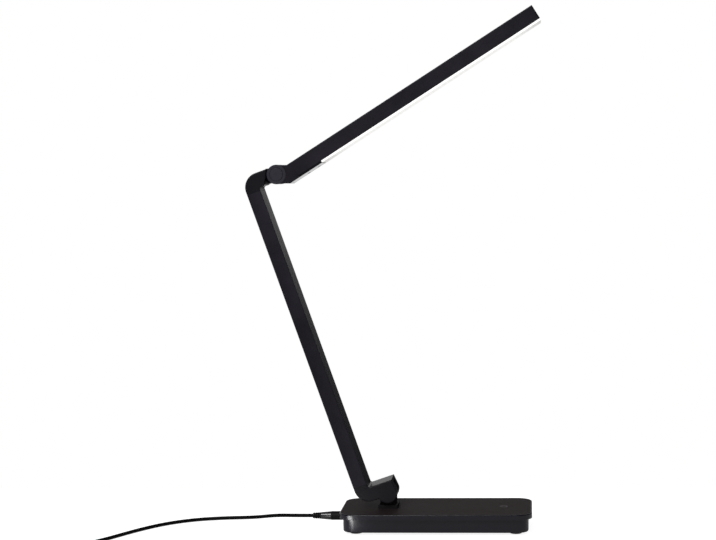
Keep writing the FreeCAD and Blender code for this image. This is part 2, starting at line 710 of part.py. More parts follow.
knuckle = knuckle.cut(fuse(slot))
seat_cap = disc_half - cap_thick
seat_head = seat_cap - bolt_head_height - spring_washer_thick - fit_gap
seat_nut = seat_cap - nut_height - fit_gap
cuts = [pin(bolt_radius + shaft_gap, 0, 0, -disc_half, disc_half),
        pin(bolt_head_radius + fit_gap, 0, 0, -seat_cap, -seat_head),
        hexagon(nut_flats + 2 * fit_gap, 0, 0, seat_nut, seat_cap),
        pin(cap_radius + fit_gap, 0, 0, -disc_half, -seat_cap),
        pin(cap_radius + fit_gap, 0, 0, seat_cap, disc_half)]
head_wire_in = (slot_radius, bar_under / 2 + bar_above)
head_wire_out = (diffuser_start, bar_under / 2 + bar_above)
cuts.append(rod(wire_way, (0, 0, head_wire_in[1]), (diffuser_start, 0, head_wire_out[1])))
tail_screw_places = (tail_screw_near, tail_screw_far)
for x in tail_screw_places:
    sunk = bar_under + tail_screw_head_height
    cuts.append(rod(tail_screw_head_radius + fit_gap, (x, tail_inner / 2, bar_under),
                    (x, tail_inner / 2, sunk)))
    cuts.append(rod(tail_screw_radius + fit_gap, (x, tail_inner / 2, sunk), (x, tail_inner / 2, bar_above)))
for cut in cuts:
    knuckle = knuckle.cut(cut)
save("head_knuckle", head_place(knuckle))

# Upper hinge bolt from the front, nut at the back, dished washer and two caps
under_head = -seat_head - spring_washer_thick
bolt = fuse([pin(bolt_radius, 0, 0, under_head, seat_cap),
             pin(bolt_head_radius, 0, 0, under_head - bolt_head_height, under_head)])
save("upper_hinge_bolt", head_place(bolt))
nut = hexagon(nut_flats, 0, 0, seat_nut, seat_nut + nut_height)
save("upper_hinge_nut", head_place(nut.cut(pin(bolt_radius + shaft_gap, 0, 0, seat_nut, seat_cap))))
dish = pin(bolt_head_radius, 0, 0, under_head, -seat_head)
save("upper_spring_washer", head_place(dish.cut(pin(bolt_radius + shaft_gap, 0, 0, under_head, -seat_head))))
caps = []
for side in (-1, 1):
    face = side * (disc_half + cap_proud)
    cap = pin(cap_radius, 0, 0, side * seat_cap, face)
    caps.append(soften(cap, cap_edge, lambda edge: lies_at(edge, "Y", face)))
save("upper_hinge_caps", head_place(Part.makeCompound(caps)))

# Channel: closed top, two side walls and the ledges that the diffuser clips over
wall_y = arm_half - bar_wall
ledge_y = wall_y - ledge_depth
ledge_low = bar_under + diffuser_thick + fit_gap
roof = bar_above - bar_wall
half_section = [(arm_half, bar_under, 0), (wall_y, bar_under, 0), (wall_y, ledge_low, 0),
                (ledge_y, ledge_low, 0), (ledge_y, ledge_low + ledge_thick, 0),
                (wall_y, ledge_low + ledge_thick, 0), (wall_y, roof, 0)]
section = [(arm_half, bar_above, bar_corner)] + half_section
section += [(-y, z, r) for y, z, r in reversed(half_section)] + [(-arm_half, bar_above, bar_corner)]
tip_x = bar_reach - tip_thick
housing = bar_slab(section, bar_seam, tip_x)
for x in tail_screw_places:
    bite = roof + tail_screw_bite
    housing = housing.cut(rod(tail_screw_radius + shaft_gap, (x, tail_inner / 2, roof),
                              (x, tail_inner / 2, bite)))
save("head_housing", head_place(housing))

# Screws through the knuckle's tail into the channel's roof
screws = []
for x in tail_screw_places:
    sunk = bar_under + tail_screw_head_height
    head = rod(tail_screw_head_radius, (x, tail_inner / 2, bar_under), (x, tail_inner / 2, sunk))
    tip = roof + tail_screw_bite - fit_gap
    screws.append(fuse([head, rod(tail_screw_radius, (x, tail_inner / 2, sunk), (x, tail_inner / 2, tip))]))
save("head_screws", head_place(Part.makeCompound(screws)))

# Tip cap: end plate with a plug inside the channel
end_corners = [(arm_half, bar_above, bar_corner), (arm_half, bar_under, 0), (-arm_half, bar_under, 0)]
end_corners.append((-arm_half, bar_above, bar_corner))
tip = bar_slab(end_corners, tip_x, bar_reach)
clip_low = bar_under + diffuser_thick
clip_top = ledge_low + ledge_thick + clip_height
plug = box(tip_x - tip_plug, tip_x, -ledge_y, ledge_y, clip_top + fit_gap, roof - led_board_thick - fit_gap)
save("head_tip_cap", head_place(fuse([tip, plug])))

# LED strip under the roof of the channel
led_end = tip_x - tip_plug - fit_gap
led_board = box(led_board_start, led_end, -led_board_width / 2, led_board_width / 2, roof - led_board_thick,
                roof)
save("led_board", head_place(led_board))
chip_face = roof - led_board_thick
led_count = int((led_end - led_first - led_length) / led_pitch) + 1
chips = []
for i in range(led_count):
    x = led_first + i * led_pitch
    chips.append(box(x, x + led_length, -led_width / 2, led_width / 2, chip_face - led_height, chip_face))
save("led_chips", head_place(Part.makeCompound(chips)))

# Opal diffuser, flush with the walls, hooked over the ledges by two long clips
diffuser_half = wall_y - fit_gap
clip_y = ledge_y - fit_gap
hook_low = ledge_low + ledge_thick + fit_gap
half_section = [(diffuser_half, bar_under, 0), (diffuser_half, clip_low, 0), (clip_y, clip_low, 0),
                (clip_y, hook_low, 0),
                (clip_y + clip_hook, hook_low, 0), (clip_y, clip_top, 0), (clip_y - clip_wall, clip_top, 0),
                (clip_y - clip_wall, clip_low, 0)]
section = half_section + [(-y, z, r) for y, z, r in reversed(half_section)]
save("diffuser", head_place(bar_slab(section, diffuser_start + fit_gap, tip_x - fit_gap)))

# Wire from the upper hinge through the knuckle to the LED strip
strip_wire_z = chip_face - wire_radius
run = [Vector(head_wire_in[0] + slot_room, 0, head_wire_in[1]), Vector(diffuser_start, 0, head_wire_out[1]),
       Vector(led_board_start + wire_bend, 0, strip_wire_z),
       Vector(led_first - led_pitch / 2, 0, strip_wire_z)]
save("head_wire", head_place(tube_along(bent_path(run, [2 * wire_bend, 2 * wire_bend]), wire_radius)))

# Lead: free stretch from the plug over the table, as chosen points
lead_height = lead_radius
coil_height = tie_thick + lead_radius + coil_lift
lead_points = [Vector(boot_end, *socket_axis), Vector(-145.0, *socket_axis), Vector(-165.0, 15.0, 8.8),
               Vector(-190.0, 27.1, 3.9), Vector(-222.0, 34.6, lead_height),
               Vector(-253.0, 25.8, lead_height), Vector(-281.0, 4.8, lead_height),
               Vector(-304.0, -28.8, lead_height), Vector(-325.0, -69.0, lead_height)]


def coil_point(turn):
    """Centre of the lead after some turns: in along the table, half a turn up, and out again on top."""
    inner = coil_outer - coil_step * coil_turns
    past = turn - coil_turns
    if past < 0:
        radius, height = coil_outer - coil_step * turn, coil_height
    elif past < 0.5:
        radius = inner - coil_step * past * (1 - 2 * past)
        height = coil_height + coil_step * (1 - math.cos(2 * math.pi * past)) / 2
    else:
        radius, height = inner + coil_step * (past - 0.5), coil_height + coil_step
    angle = math.radians(coil_entry_angle) + 2 * math.pi * turn
    return Vector(coil_x + radius * math.cos(angle), coil_y + radius * math.sin(angle), height)


def coil_heading(turn):
    """Direction of the lead at that place."""
    step = 1e-4
    return (coil_point(turn + step) - coil_point(turn - step)).normalize()


def half_arc(start, heading, stop):
    """Arc that leaves start along heading and ends at stop."""
    chord = stop - start
    along = Vector(chord).normalize()
    rise = heading - along * heading.dot(along)
    if rise.Length < 1e-7:
        return Part.LineSegment(start, stop).toShape()
    bulge = chord.Length / 2 * math.tan(heading.getAngle(along) / 2)
    return Part.Arc(start, start + chord / 2 + rise.normalize() * bulge, stop).toShape()


def biarc(start, heading, stop, leaving):
    """Two tangent arcs between two places with their headings."""
    chord, both = stop - start, heading + leaving
    share = 2 * (1 - heading.dot(leaving))
    reach = (math.sqrt(chord.dot(both) ** 2 + share * chord.dot(chord)) - chord.dot(both)) / share
    joint = (start + heading * reach + stop - leaving * reach) * 0.5
    second = half_arc(stop, leaving * -1, joint)
    return [half_arc(start, heading, joint), second]


# Coil of the put-away length: in and out in two layers, with straight ends one lead diameter long
out_turns = 3 + ((coil_exit_angle - coil_entry_angle - 180) % 360) / 360
last_turn = coil_turns + 0.5 + out_turns
quarters = int(math.ceil(last_turn * 4))
turns = [last_turn * i / quarters for i in range(quarters + 1)]
edges = []
coil_start = coil_point(0) - coil_heading(0) * 2 * lead_radius
edges.append(Part.LineSegment(coil_start, coil_point(0)).toShape())
for before, after in zip(turns, turns[1:]):
    edges += biarc(coil_point(before), coil_heading(before), coil_point(after), coil_heading(after))
coil_stop = coil_point(last_turn) + coil_heading(last_turn) * 2 * lead_radius
edges.append(Part.LineSegment(coil_point(last_turn), coil_stop).toShape())
coil_path = Part.Wire(Part.__sortEdges__(edges))
coil = tube_along(coil_path, lead_radius)
save("lead_coil", coil)
marks = coil_path.discretize(Number=1200)
spacing = coil_path.Length / (len(marks) - 1)
skip = int(math.pi * coil_outer / 2 / spacing)
nearest = min(marks[i].distanceToPoint(other) for i in range(len(marks)) for other in marks[i + skip:])
print("coil: length %.0f, least gap to itself %.2f" % (coil_path.Length, nearest - 2 * lead_radius))


def free_lead(points):
    """Tube through chosen points with arcs as large as the runs allow; its radii and volume are printed."""
    bends = []
    for before, corner, after in zip(points, points[1:], points[2:]):
        turn = (corner - before).getAngle(after - corner)
        run = min((corner - before).Length, (after - corner).Length)
        bends.append(0.45 * run / math.tan(turn / 2))
    path = bent_path(points, bends)
    solid = tube_along(path, lead_radius)
    expected = math.pi * lead_radius ** 2 * path.Length
    print("lead: length %.0f, radii %s, volume ratio %.4f"
          % (path.Length, [round(bend) for bend in bends], solid.Volume / expected))
    return solid


entry = coil_heading(0)
lead_points += [coil_start - entry * coil_lead_in, coil_start]
save("lead_run", free_lead(lead_points))
leaving = coil_heading(last_turn)
usb_height = usb_grip_height / 2
tail_end = Vector(coil_stop.x + tail_length, coil_stop.y - tail_side, usb_height)
tail_points = [coil_stop, coil_stop + leaving * tail_straight, tail_end - Vector(tail_straight, 0, 0),
               tail_end]
save("lead_tail", free_lead(tail_points))

# Strap round the coil's turns
tie_in = coil_outer - coil_step * coil_turns - lead_radius - coil_step / 4
tie_out = coil_outer + lead_radius + fit_gap
tie_top = coil_height + coil_step + lead_radius + fit_gap
band = box(tie_in - tie_thick, tie_out + tie_thick, -tie_width / 2, tie_width / 2, 0, tie_top + tie_thick)
band = band.cut(box(tie_in, tie_out, -tie_width / 2, tie_width / 2, tie_thick, tie_top))
band.rotate(Vector(), Vector(0, 0, 1), tie_angle)
band.translate(Vector(coil_x, coil_y, 0))
save("coil_tie", band)

# Power plug at the lead's far end: moulded grip with its relief, steel shell and contact insert
grip_x = tail_end.x + usb_boot_length
grip_end = grip_x + usb_grip_length
y_mid = tail_end.y
usb_grip = box(grip_x, grip_end, y_mid - usb_grip_width / 2, y_mid + usb_grip_width / 2, 0, usb_grip_height)
usb_grip = soften(usb_grip, usb_grip_edge, lambda edge: not lies_at(edge, "X", grip_end))
relief = Part.makeCone(usb_boot_radius, usb_grip_height / 2 - usb_grip_edge, usb_boot_length, tail_end,
                       Vector(1, 0, 0))
save("usb_grip", fuse([usb_grip, relief]))
shell_x, shell_half, shell_up = grip_end + usb_shell_length, usb_shell_width / 2, usb_shell_height / 2
shell = box(grip_end, shell_x, y_mid - shell_half, y_mid + shell_half, usb_height - shell_up,
            usb_height + shell_up)
inner_half, inner_up = shell_half - usb_shell_wall, shell_up - usb_shell_wall
opening = box(grip_end, shell_x, y_mid - inner_half, y_mid + inner_half, usb_height - inner_up,
              usb_height + inner_up)
save("usb_shell", shell.cut(opening))
insert_half = inner_half - fit_gap
insert_low = usb_height - inner_up + fit_gap
insert = box(grip_end, shell_x - 2 * fit_gap, y_mid - insert_half, y_mid + insert_half, insert_low,
             insert_low + usb_insert_height)
save("usb_insert", insert)
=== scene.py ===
import json
import math

import bpy
import numpy as np
from mathutils import Matrix, Vector


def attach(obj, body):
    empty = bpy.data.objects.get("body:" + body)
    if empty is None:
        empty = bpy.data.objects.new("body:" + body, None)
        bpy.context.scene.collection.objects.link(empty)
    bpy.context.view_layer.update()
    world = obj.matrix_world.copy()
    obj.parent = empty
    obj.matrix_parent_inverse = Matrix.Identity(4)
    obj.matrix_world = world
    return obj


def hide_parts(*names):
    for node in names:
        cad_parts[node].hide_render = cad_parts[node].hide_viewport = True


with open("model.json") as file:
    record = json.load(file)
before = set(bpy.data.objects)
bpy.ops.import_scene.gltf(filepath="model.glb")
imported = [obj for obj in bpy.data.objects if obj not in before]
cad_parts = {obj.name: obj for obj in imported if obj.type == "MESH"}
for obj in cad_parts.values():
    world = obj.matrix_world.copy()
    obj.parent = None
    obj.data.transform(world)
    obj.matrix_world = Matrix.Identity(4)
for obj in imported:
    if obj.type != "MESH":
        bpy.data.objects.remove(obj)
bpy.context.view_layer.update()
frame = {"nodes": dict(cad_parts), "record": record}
scene = bpy.context.scene
scene.view_settings.view_transform = "Standard"

# Camera: a long lens 1.6 m in front of the lamp, about as high as the bar's hinge and rolled by a degree.
# Heading, fall and roll are in degrees, and the focal length is that of a 36 mm wide frame.
camera_place = (0.098678, -1.592, 0.350904)
camera_left, camera_fall, camera_roll = np.radians((6.191, 3.269, -1.298))
look = Vector((-math.sin(camera_left) * math.cos(camera_fall),
               math.cos(camera_left) * math.cos(camera_fall), -math.sin(camera_fall)))
level_right = look.cross(Vector((0, 0, 1))).normalized()
level_up = level_right.cross(look)
rolled_right = level_right * math.cos(camera_roll) + level_up * math.sin(camera_roll)
rolled_up = level_up * math.cos(camera_roll) - level_right * math.sin(camera_roll)
lens = bpy.data.cameras.new("camera")
lens.sensor_fit = "HORIZONTAL"
lens.sensor_width = 36.0
lens.lens = 80.75
lens.clip_start = 0.01
camera = bpy.data.objects.new("camera", lens)
camera.matrix_world = Matrix((
    (rolled_right.x, rolled_up.x, -look.x, camera_place[0]),
    (rolled_right.y, rolled_up.y, -look.y, camera_place[1]),
    (rolled_right.z, rolled_up.z, -look.z, camera_place[2]),
    (0, 0, 0, 1)))
scene.collection.objects.link(camera)
scene.camera = camera


# Studio: a white table before a white backdrop, soft light from the front left and two tiny lamps that give
# the base's near corner its glint. Shiny faces mirror a pale card that stands behind the object at the left.
def math_node(nodes, links, operation, first, second):
    """One sum: each operand is an output socket or a number."""
    step = nodes.new("ShaderNodeMath")
    step.operation = operation
    for place, operand in enumerate((first, second)):
        if isinstance(operand, (int, float)):
            step.inputs[place].default_value = operand
        else:
            links.new(operand, step.inputs[place])
    return step.outputs[0]


def mapped(nodes, links, value, start, stop, low=0.0, high=1.0):
    """Value moved from the range start to stop into the range low to high, and held at its ends."""
    step = nodes.new("ShaderNodeMapRange")
    for name, number in (("From Min", start), ("From Max", stop), ("To Min", low), ("To Max", high)):
        step.inputs[name].default_value = number
    links.new(value, step.inputs["Value"])
    return step.outputs["Result"]


def seen_by_eye(nodes, links):
    """1 for camera, glossy and transmission rays and 0 for the rays that carry the light."""
    path = nodes.new("ShaderNodeLightPath")
    shiny = math_node(nodes, links, "MAXIMUM", path.outputs["Is Camera Ray"], path.outputs["Is Glossy Ray"])
    return math_node(nodes, links, "MAXIMUM", shiny, path.outputs["Is Transmission Ray"]), path


white = (1.0, 1.0, 1.0, 1.0)
soft_light, least_mirrored = 0.42, 0.03
world = bpy.data.worlds.new("studio")
scene.world = world
world.use_nodes = True
nodes, links = world.node_tree.nodes, world.node_tree.links
nodes.clear()
eye, path = seen_by_eye(nodes, links)
soft = nodes.new("ShaderNodeBackground")
soft.inputs["Color"].default_value = white
soft.inputs["Strength"].default_value = soft_light
direction = nodes.new("ShaderNodeTexCoord")
split = nodes.new("ShaderNodeSeparateXYZ")
links.new(direction.outputs["Generated"], split.inputs[0])
lean = math_node(nodes, links, "MULTIPLY", split.outputs["X"], -2.0)
lean = math_node(nodes, links, "ADD", lean, split.outputs["Z"])
fade = nodes.new("ShaderNodeValToRGB")
for place, grey in ((0.25, 0.0), (0.32, 0.06), (0.38, 0.16), (0.44, 0.30), (0.56, 0.68), (0.70, 0.42)):
    stop = fade.color_ramp.elements.new(place)
    stop.color = (grey, grey, grey, 1.0)
fade.color_ramp.elements[0].color = (0.0, 0.0, 0.0, 1.0)
fade.color_ramp.elements[-1].color = (0.43, 0.43, 0.43, 1.0)
links.new(mapped(nodes, links, lean, start=-0.6, stop=0.4), fade.inputs["Fac"])
overhead = mapped(nodes, links, split.outputs["Z"], start=0.25, stop=0.6, low=1.5, high=0.3)
away = mapped(nodes, links, split.outputs["Y"], start=-0.1, stop=0.9)
card = math_node(nodes, links, "MULTIPLY", fade.outputs["Color"], overhead)
card = math_node(nodes, links, "MULTIPLY", away, card)
card = math_node(nodes, links, "MAXIMUM", card, least_mirrored)
backdrop = nodes.new("ShaderNodeBackground")
backdrop.inputs["Color"].default_value = white
plain = math_node(nodes, links, "MAXIMUM", card, path.outputs["Is Camera Ray"])
links.new(plain, backdrop.inputs["Strength"])
choose = nodes.new("ShaderNodeMixShader")
links.new(eye, choose.inputs[0])
links.new(soft.outputs[0], choose.inputs[1])
links.new(backdrop.outputs[0], choose.inputs[2])
sky = nodes.new("ShaderNodeOutputWorld")
links.new(choose.outputs[0], sky.inputs["Surface"])

table_left, table_right, table_front, table_back, table_top = -1.3, 1.1, -0.62, 0.2, -0.0002
table_grey, table_glow, unmirrored = 0.5, 0.88, 0.9
table_mesh = bpy.data.meshes.new("table")
table_mesh.from_pydata([(table_left, table_front, table_top), (table_right, table_front, table_top),
                        (table_right, table_back, table_top), (table_left, table_back, table_top)],
                       [], [(0, 1, 2, 3)])
table = bpy.data.objects.new("table", table_mesh)
scene.collection.objects.link(table)
white_table = bpy.data.materials.new("white_table")
white_table.use_nodes = True
nodes, links = white_table.node_tree.nodes, white_table.node_tree.links
nodes.clear()
eye, path = seen_by_eye(nodes, links)
paper = nodes.new("ShaderNodeBsdfDiffuse")
paper.inputs["Color"].default_value = (table_grey, table_grey, table_grey, 1.0)
glow = nodes.new("ShaderNodeEmission")
glow.inputs["Color"].default_value = white
mirrored = math_node(nodes, links, "MULTIPLY", path.outputs["Is Glossy Ray"], unmirrored)
paler = math_node(nodes, links, "SUBTRACT", eye, mirrored)
links.new(math_node(nodes, links, "MULTIPLY", paler, table_glow), glow.inputs["Strength"])
both = nodes.new("ShaderNodeAddShader")
links.new(paper.outputs[0], both.inputs[0])
links.new(glow.outputs[0], both.inputs[1])
top = nodes.new("ShaderNodeOutputMaterial")
links.new(both.outputs[0], top.inputs["Surface"])
table_mesh.materials.append(white_table)


def softbox(name, place, target, size, power, spread=180.0):
    """Rectangular lamp at place, turned towards target, its light kept within the spread angle."""
    lamp = bpy.data.lights.new(name, "AREA")
    lamp.shape = "RECTANGLE"
    lamp.size, lamp.size_y = size
    lamp.energy = power
    lamp.spread = math.radians(spread)
    holder = bpy.data.objects.new(name, lamp)
    holder.visible_camera = False
    turn = (Vector(target) - Vector(place)).to_track_quat("-Z", "Y")
    holder.matrix_world = Matrix.Translation(place) @ turn.to_matrix().to_4x4()
    scene.collection.objects.link(holder)


softbox("key_light", place=(-0.5, -1.1, 1.15), target=(-0.02, 0.0, 0.2), size=(0.8, 0.8), power=12.5)
softbox("tray_corner_light", place=(-0.0936, -0.0799, 0.0052), target=(-0.0811, -0.0388, 0.0085),
        size=(0.016, 0.0100), power=0.00066, spread=60.0)
softbox("rim_corner_light", place=(-0.1215, -0.0992, 0.0040), target=(-0.0840, -0.0420, 0.0180),
        size=(0.042, 0.0076), power=0.0025, spread=60.0)


# Moulded, coated and metal finishes start from three shared effects: the fine skin of a mould, the patchy
# sheen that handling leaves, and the rubbed, slightly paler edges. Each material sets its own strengths.
def value_socket(group, name, way, kind="NodeSocketFloat"):
    """Named socket on a shader group's edge."""
    return group.interface.new_socket(name=name, in_out=way, socket_type=kind)


mould_skin = bpy.data.node_groups.new("mould_skin", "ShaderNodeTree")
for name in ("Grain per metre", "Smooth", "Rough", "Edge"):
    value_socket(mould_skin, name, "INPUT")
for name in ("Dark", "Pale"):
    value_socket(mould_skin, name, "INPUT", "NodeSocketColor")
value_socket(mould_skin, "Color", "OUTPUT", "NodeSocketColor")
for name in ("Roughness", "Height"):
    value_socket(mould_skin, name, "OUTPUT")
pits_per_grain, patches_per_metre, patch_share, pit_height = 0.55, 26.0, 0.6, 0.5
nodes, links = mould_skin.nodes, mould_skin.links
entry = nodes.new("NodeGroupInput")
leave = nodes.new("NodeGroupOutput")
where = nodes.new("ShaderNodeTexCoord")
grain = nodes.new("ShaderNodeTexNoise")
grain.inputs["Detail"].default_value = 3.0
links.new(where.outputs["Object"], grain.inputs["Vector"])
links.new(entry.outputs["Grain per metre"], grain.inputs["Scale"])
pits = nodes.new("ShaderNodeTexVoronoi")
links.new(where.outputs["Object"], pits.inputs["Vector"])
pit_scale = math_node(nodes, links, "MULTIPLY", entry.outputs["Grain per metre"], pits_per_grain)
links.new(pit_scale, pits.inputs["Scale"])
patch = nodes.new("ShaderNodeTexNoise")
patch.inputs["Scale"].default_value = patches_per_metre
patch.inputs["Detail"].default_value = 4.0
patch.inputs["Roughness"].default_value = 0.6
links.new(where.outputs["Object"], patch.inputs["Vector"])
worn = nodes.new("ShaderNodeAttribute")
worn.attribute_name = "edge"
rub = math_node(nodes, links, "MULTIPLY", worn.outputs["Fac"], entry.outputs["Edge"])
rub = math_node(nodes, links, "MULTIPLY", rub, patch.outputs["Fac"])
broad = math_node(nodes, links, "MULTIPLY", patch.outputs["Fac"], patch_share)
fine = math_node(nodes, links, "MULTIPLY", grain.outputs["Fac"], 1.0 - patch_share)
mixed = math_node(nodes, links, "ADD", broad, fine)
tone = mapped(nodes, links, mixed, start=0.32, stop=0.68)
paler = math_node(nodes, links, "ADD", tone, rub)
colour = nodes.new("ShaderNodeMix")
colour.data_type = "RGBA"
colour.clamp_factor = False
links.new(paler, colour.inputs["Factor"])
links.new(entry.outputs["Dark"], colour.inputs["A"])
links.new(entry.outputs["Pale"], colour.inputs["B"])
links.new(colour.outputs["Result"], leave.inputs["Color"])
sheen = nodes.new("ShaderNodeMix")
links.new(tone, sheen.inputs["Factor"])
links.new(entry.outputs["Smooth"], sheen.inputs["A"])
links.new(entry.outputs["Rough"], sheen.inputs["B"])
links.new(sheen.outputs["Result"], leave.inputs["Roughness"])
height = math_node(nodes, links, "MULTIPLY", pits.outputs["Distance"], pit_height)
links.new(math_node(nodes, links, "ADD", grain.outputs["Fac"], height), leave.inputs["Height"])


def skin_finish(name, dark, pale, sheen, grain, specular, edge=0.0, metal=0.0):
    """Material of one surface: sheen is its least and greatest roughness, grain its skin's size and depth in
    millimetres, and edge the share of the pale colour that rubbed edges gain."""
    grain_size, depth = grain
    material = bpy.data.materials.new(name)
    material.use_nodes = True
    nodes, links = material.node_tree.nodes, material.node_tree.links
    surface = nodes["Principled BSDF"]
    skin = nodes.new("ShaderNodeGroup")
    skin.node_tree = mould_skin
    skin.inputs["Grain per metre"].default_value = 1000.0 / grain_size
    skin.inputs["Dark"].default_value = (*dark, 1.0)
    skin.inputs["Pale"].default_value = (*pale, 1.0)
    skin.inputs["Smooth"].default_value, skin.inputs["Rough"].default_value = sheen
    skin.inputs["Edge"].default_value = edge
    bump = nodes.new("ShaderNodeBump")
    bump.inputs["Strength"].default_value = 0.6
    bump.inputs["Distance"].default_value = depth * 0.001
    links.new(skin.outputs["Height"], bump.inputs["Height"])
    links.new(skin.outputs["Color"], surface.inputs["Base Color"])
    links.new(skin.outputs["Roughness"], surface.inputs["Roughness"])
    links.new(bump.outputs["Normal"], surface.inputs["Normal"])
    surface.inputs["Specular IOR Level"].default_value = specular
    surface.inputs["Metallic"].default_value = metal
    return material


# Lead: a round black low-voltage cord, 3.6 mm thick. It leaves the plug straight, sinks to the table in one
# loose curve towards the viewer and is put away in a tied coil of two layers beside the lamp.
lead_skin = skin_finish("lead_skin", (0.0016, 0.0016, 0.0018), (0.0040, 0.0040, 0.0044),
                        sheen=(0.42, 0.56), grain=(0.5, 0.02), specular=0.10)
lead_thick = 3.6
route = [(-126.2, 6.0, 10.4), (-145.0, 6.0, 10.4), (-165.0, 15.0, 8.8), (-190.0, 27.1, 3.9),
         (-222.0, 34.6, 1.8), (-253.0, 25.8, 1.8), (-281.0, 4.8, 1.8), (-304.0, -28.8, 1.8),
         (-325.0, -69.0, 1.8), (-348.7, -102.1, 2.6)]
coil_middle, coil_wide, coil_step, coil_low = (-336.0, -139.0), 29.5, 4.2, 2.6
turns_in, turns_out, points_per_turn = 4.0, 3.8333, 24
turn = np.arange(0, (turns_in + 0.5 + turns_out) * points_per_turn + 1) / points_per_turn
past = np.clip(turn - turns_in, 0.0, 0.5)
climb = coil_step * (1 - np.cos(2 * np.pi * past)) / 2
reach = coil_wide - coil_step * np.minimum(turn, turns_in) - coil_step * past * (1 - 2 * past)
reach = reach + coil_step * np.maximum(turn - turns_in - 0.5, 0.0)
heading = np.radians(150.0) + 2 * np.pi * turn
loops = np.stack([coil_middle[0] + reach * np.cos(heading), coil_middle[1] + reach * np.sin(heading),
                  coil_low + climb], axis=1)
tail = [(-319.0, -168.8, 6.8), (-301.4, -170.1, 4.2), (-286.4, -170.1, 4.2)]
lead_points = np.concatenate([route, loops, tail]) * 0.001
lead_curve = bpy.data.curves.new("lead", "CURVE")
lead_curve.dimensions = "3D"
line = lead_curve.splines.new("NURBS")
line.points.add(len(lead_points) - 1)
line.points.foreach_set("co", np.column_stack([lead_points, np.ones(len(lead_points))]).ravel())
line.order_u = 3
line.use_endpoint_u = True
line.resolution_u = 6
lead_curve.bevel_depth = lead_thick / 2 * 0.001
lead_curve.bevel_resolution = 5
lead_curve.use_fill_caps = True
lead_curve.materials.append(lead_skin)
lead = bpy.data.objects.new("lead", lead_curve)
scene.collection.objects.link(lead)


# Round plug: a bright barrel in the base's socket, a moulded grip that tapers to the cord, and a ribbed
# relief that lets the cord flex. All three are turned shapes about the plug's own axis.
def ring_skin(name, stacks, *materials, slots=None):
    """Closed skins over stacks of rings, in millimetres: quads join neighbouring rings and a flat face
    closes each end. Each stack is (rings, edge), with edge 1 on the roundings that rub, and slots names the
    material of each stack."""
    points, faces, rubbed, finish, first = [], [], [], [], 0
    for place, (rings, edge) in enumerate(stacks):
        rows, count = rings.shape[:2]
        spot = np.arange(rows * count).reshape(rows, count)
        side = np.roll(spot, -1, axis=1)
        quads = np.stack([spot[:-1], side[:-1], side[1:], spot[1:]], axis=-1).reshape(-1, 4)
        low, high = spot[0][::-1], spot[-1]
        corner = rings.reshape(-1, 3) - rings.reshape(-1, 3).mean(axis=0)
        four = corner[quads]
        spread = np.cross(four[:, 2] - four[:, 0], four[:, 3] - four[:, 1]) / 2
        volume = (four.mean(axis=1) * spread).sum()
        for end in (corner[low], corner[high]):
            volume += end.mean(axis=0) @ np.cross(end, np.roll(end, -1, axis=0)).sum(axis=0) / 2
        way = 1 if volume > 0 else -1
        faces += (quads[:, ::way] + first).tolist()
        faces += [(low[::way] + first).tolist(), (high[::way] + first).tolist()]
        points.append(rings.reshape(-1, 3))
        rubbed.append(edge.reshape(-1))
        finish += [slots[place] if slots else 0] * (len(quads) + 2)
        first += rows * count
    mesh = bpy.data.meshes.new(name)
    mesh.from_pydata((np.concatenate(points) * 0.001).tolist(), [], faces)
    mesh.attributes.new("edge", "FLOAT", "POINT").data.foreach_set("value", np.concatenate(rubbed))
    mesh.polygons.foreach_set("use_smooth", np.ones(len(faces), bool))
    mesh.set_sharp_from_angle(angle=math.radians(38))
    for material in materials:
        mesh.materials.append(material)
    mesh.polygons.foreach_set("material_index", finish)
    piece = bpy.data.objects.new(name, mesh)
    scene.collection.objects.link(piece)
    even = piece.modifiers.new("even faces", "WEIGHTED_NORMAL")
    even.keep_sharp = True
    even.weight = 80
    return piece


def turned(profile, centre, axis, count=64):
    """Rings of a turned shape: each (along, radius) of the profile is a circle of that radius, set that far
    along the axis from the centre."""
    along, radius = np.array(profile, float).T
    angle = np.linspace(0, 2 * np.pi, count, endpoint=False)
    rings = np.empty((len(along), count, 3))
    rings[..., axis] = along[:, None]
    rings[..., (axis + 1) % 3] = radius[:, None] * np.cos(angle)
    rings[..., (axis + 2) % 3] = radius[:, None] * np.sin(angle)
    return rings + np.array(centre, float), np.zeros(rings.shape[:2])


plug_axis, relief_start = (0.0, 6.0, 10.4), -118.2
plug_gloss = skin_finish("plug_gloss", (0.010, 0.010, 0.012), (0.024, 0.024, 0.028),
                         sheen=(0.14, 0.20), grain=(0.6, 0.004), specular=0.85)
plug_matt = skin_finish("plug_matt", (0.004, 0.004, 0.005), (0.009, 0.009, 0.010),
                        sheen=(0.42, 0.55), grain=(0.5, 0.02), specular=0.15)
grip_profile = [(relief_start, 3.0), (-118.0, 3.25), (-117.6, 3.4), (-113.0, 3.8), (-109.0, 4.15),
                (-107.6, 4.25), (-107.3, 4.2), (-107.2, 3.9)]
collar_profile = [(-107.4, 3.8), (-107.4, 4.2), (-107.2, 4.36), (-106.9, 4.4), (-93.0, 4.4), (-92.2, 4.3),
                  (-91.8, 4.1), (-91.7, 3.8)]
plug_grip = ring_skin("round_plug_grip",
                      [turned(grip_profile, plug_axis, 0), turned(collar_profile, plug_axis, 0)],
                      plug_gloss, plug_matt, slots=(0, 1))
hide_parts("plug_grip")
rib_count, rib_pitch, rib_radius, rib_taper = 4, 2.0, 3.35, 0.4
rib = np.arange(rib_count)
crest = rib_radius - rib_taper * (rib + 0.5) / rib_count
step = np.array([0.0, 0.12, 0.35, 1.15, 1.38, 1.5, 1.55, 1.95])
depth = np.array([0.35, 0.1, 0.0, 0.0, 0.1, 0.35, 0.5, 0.5])
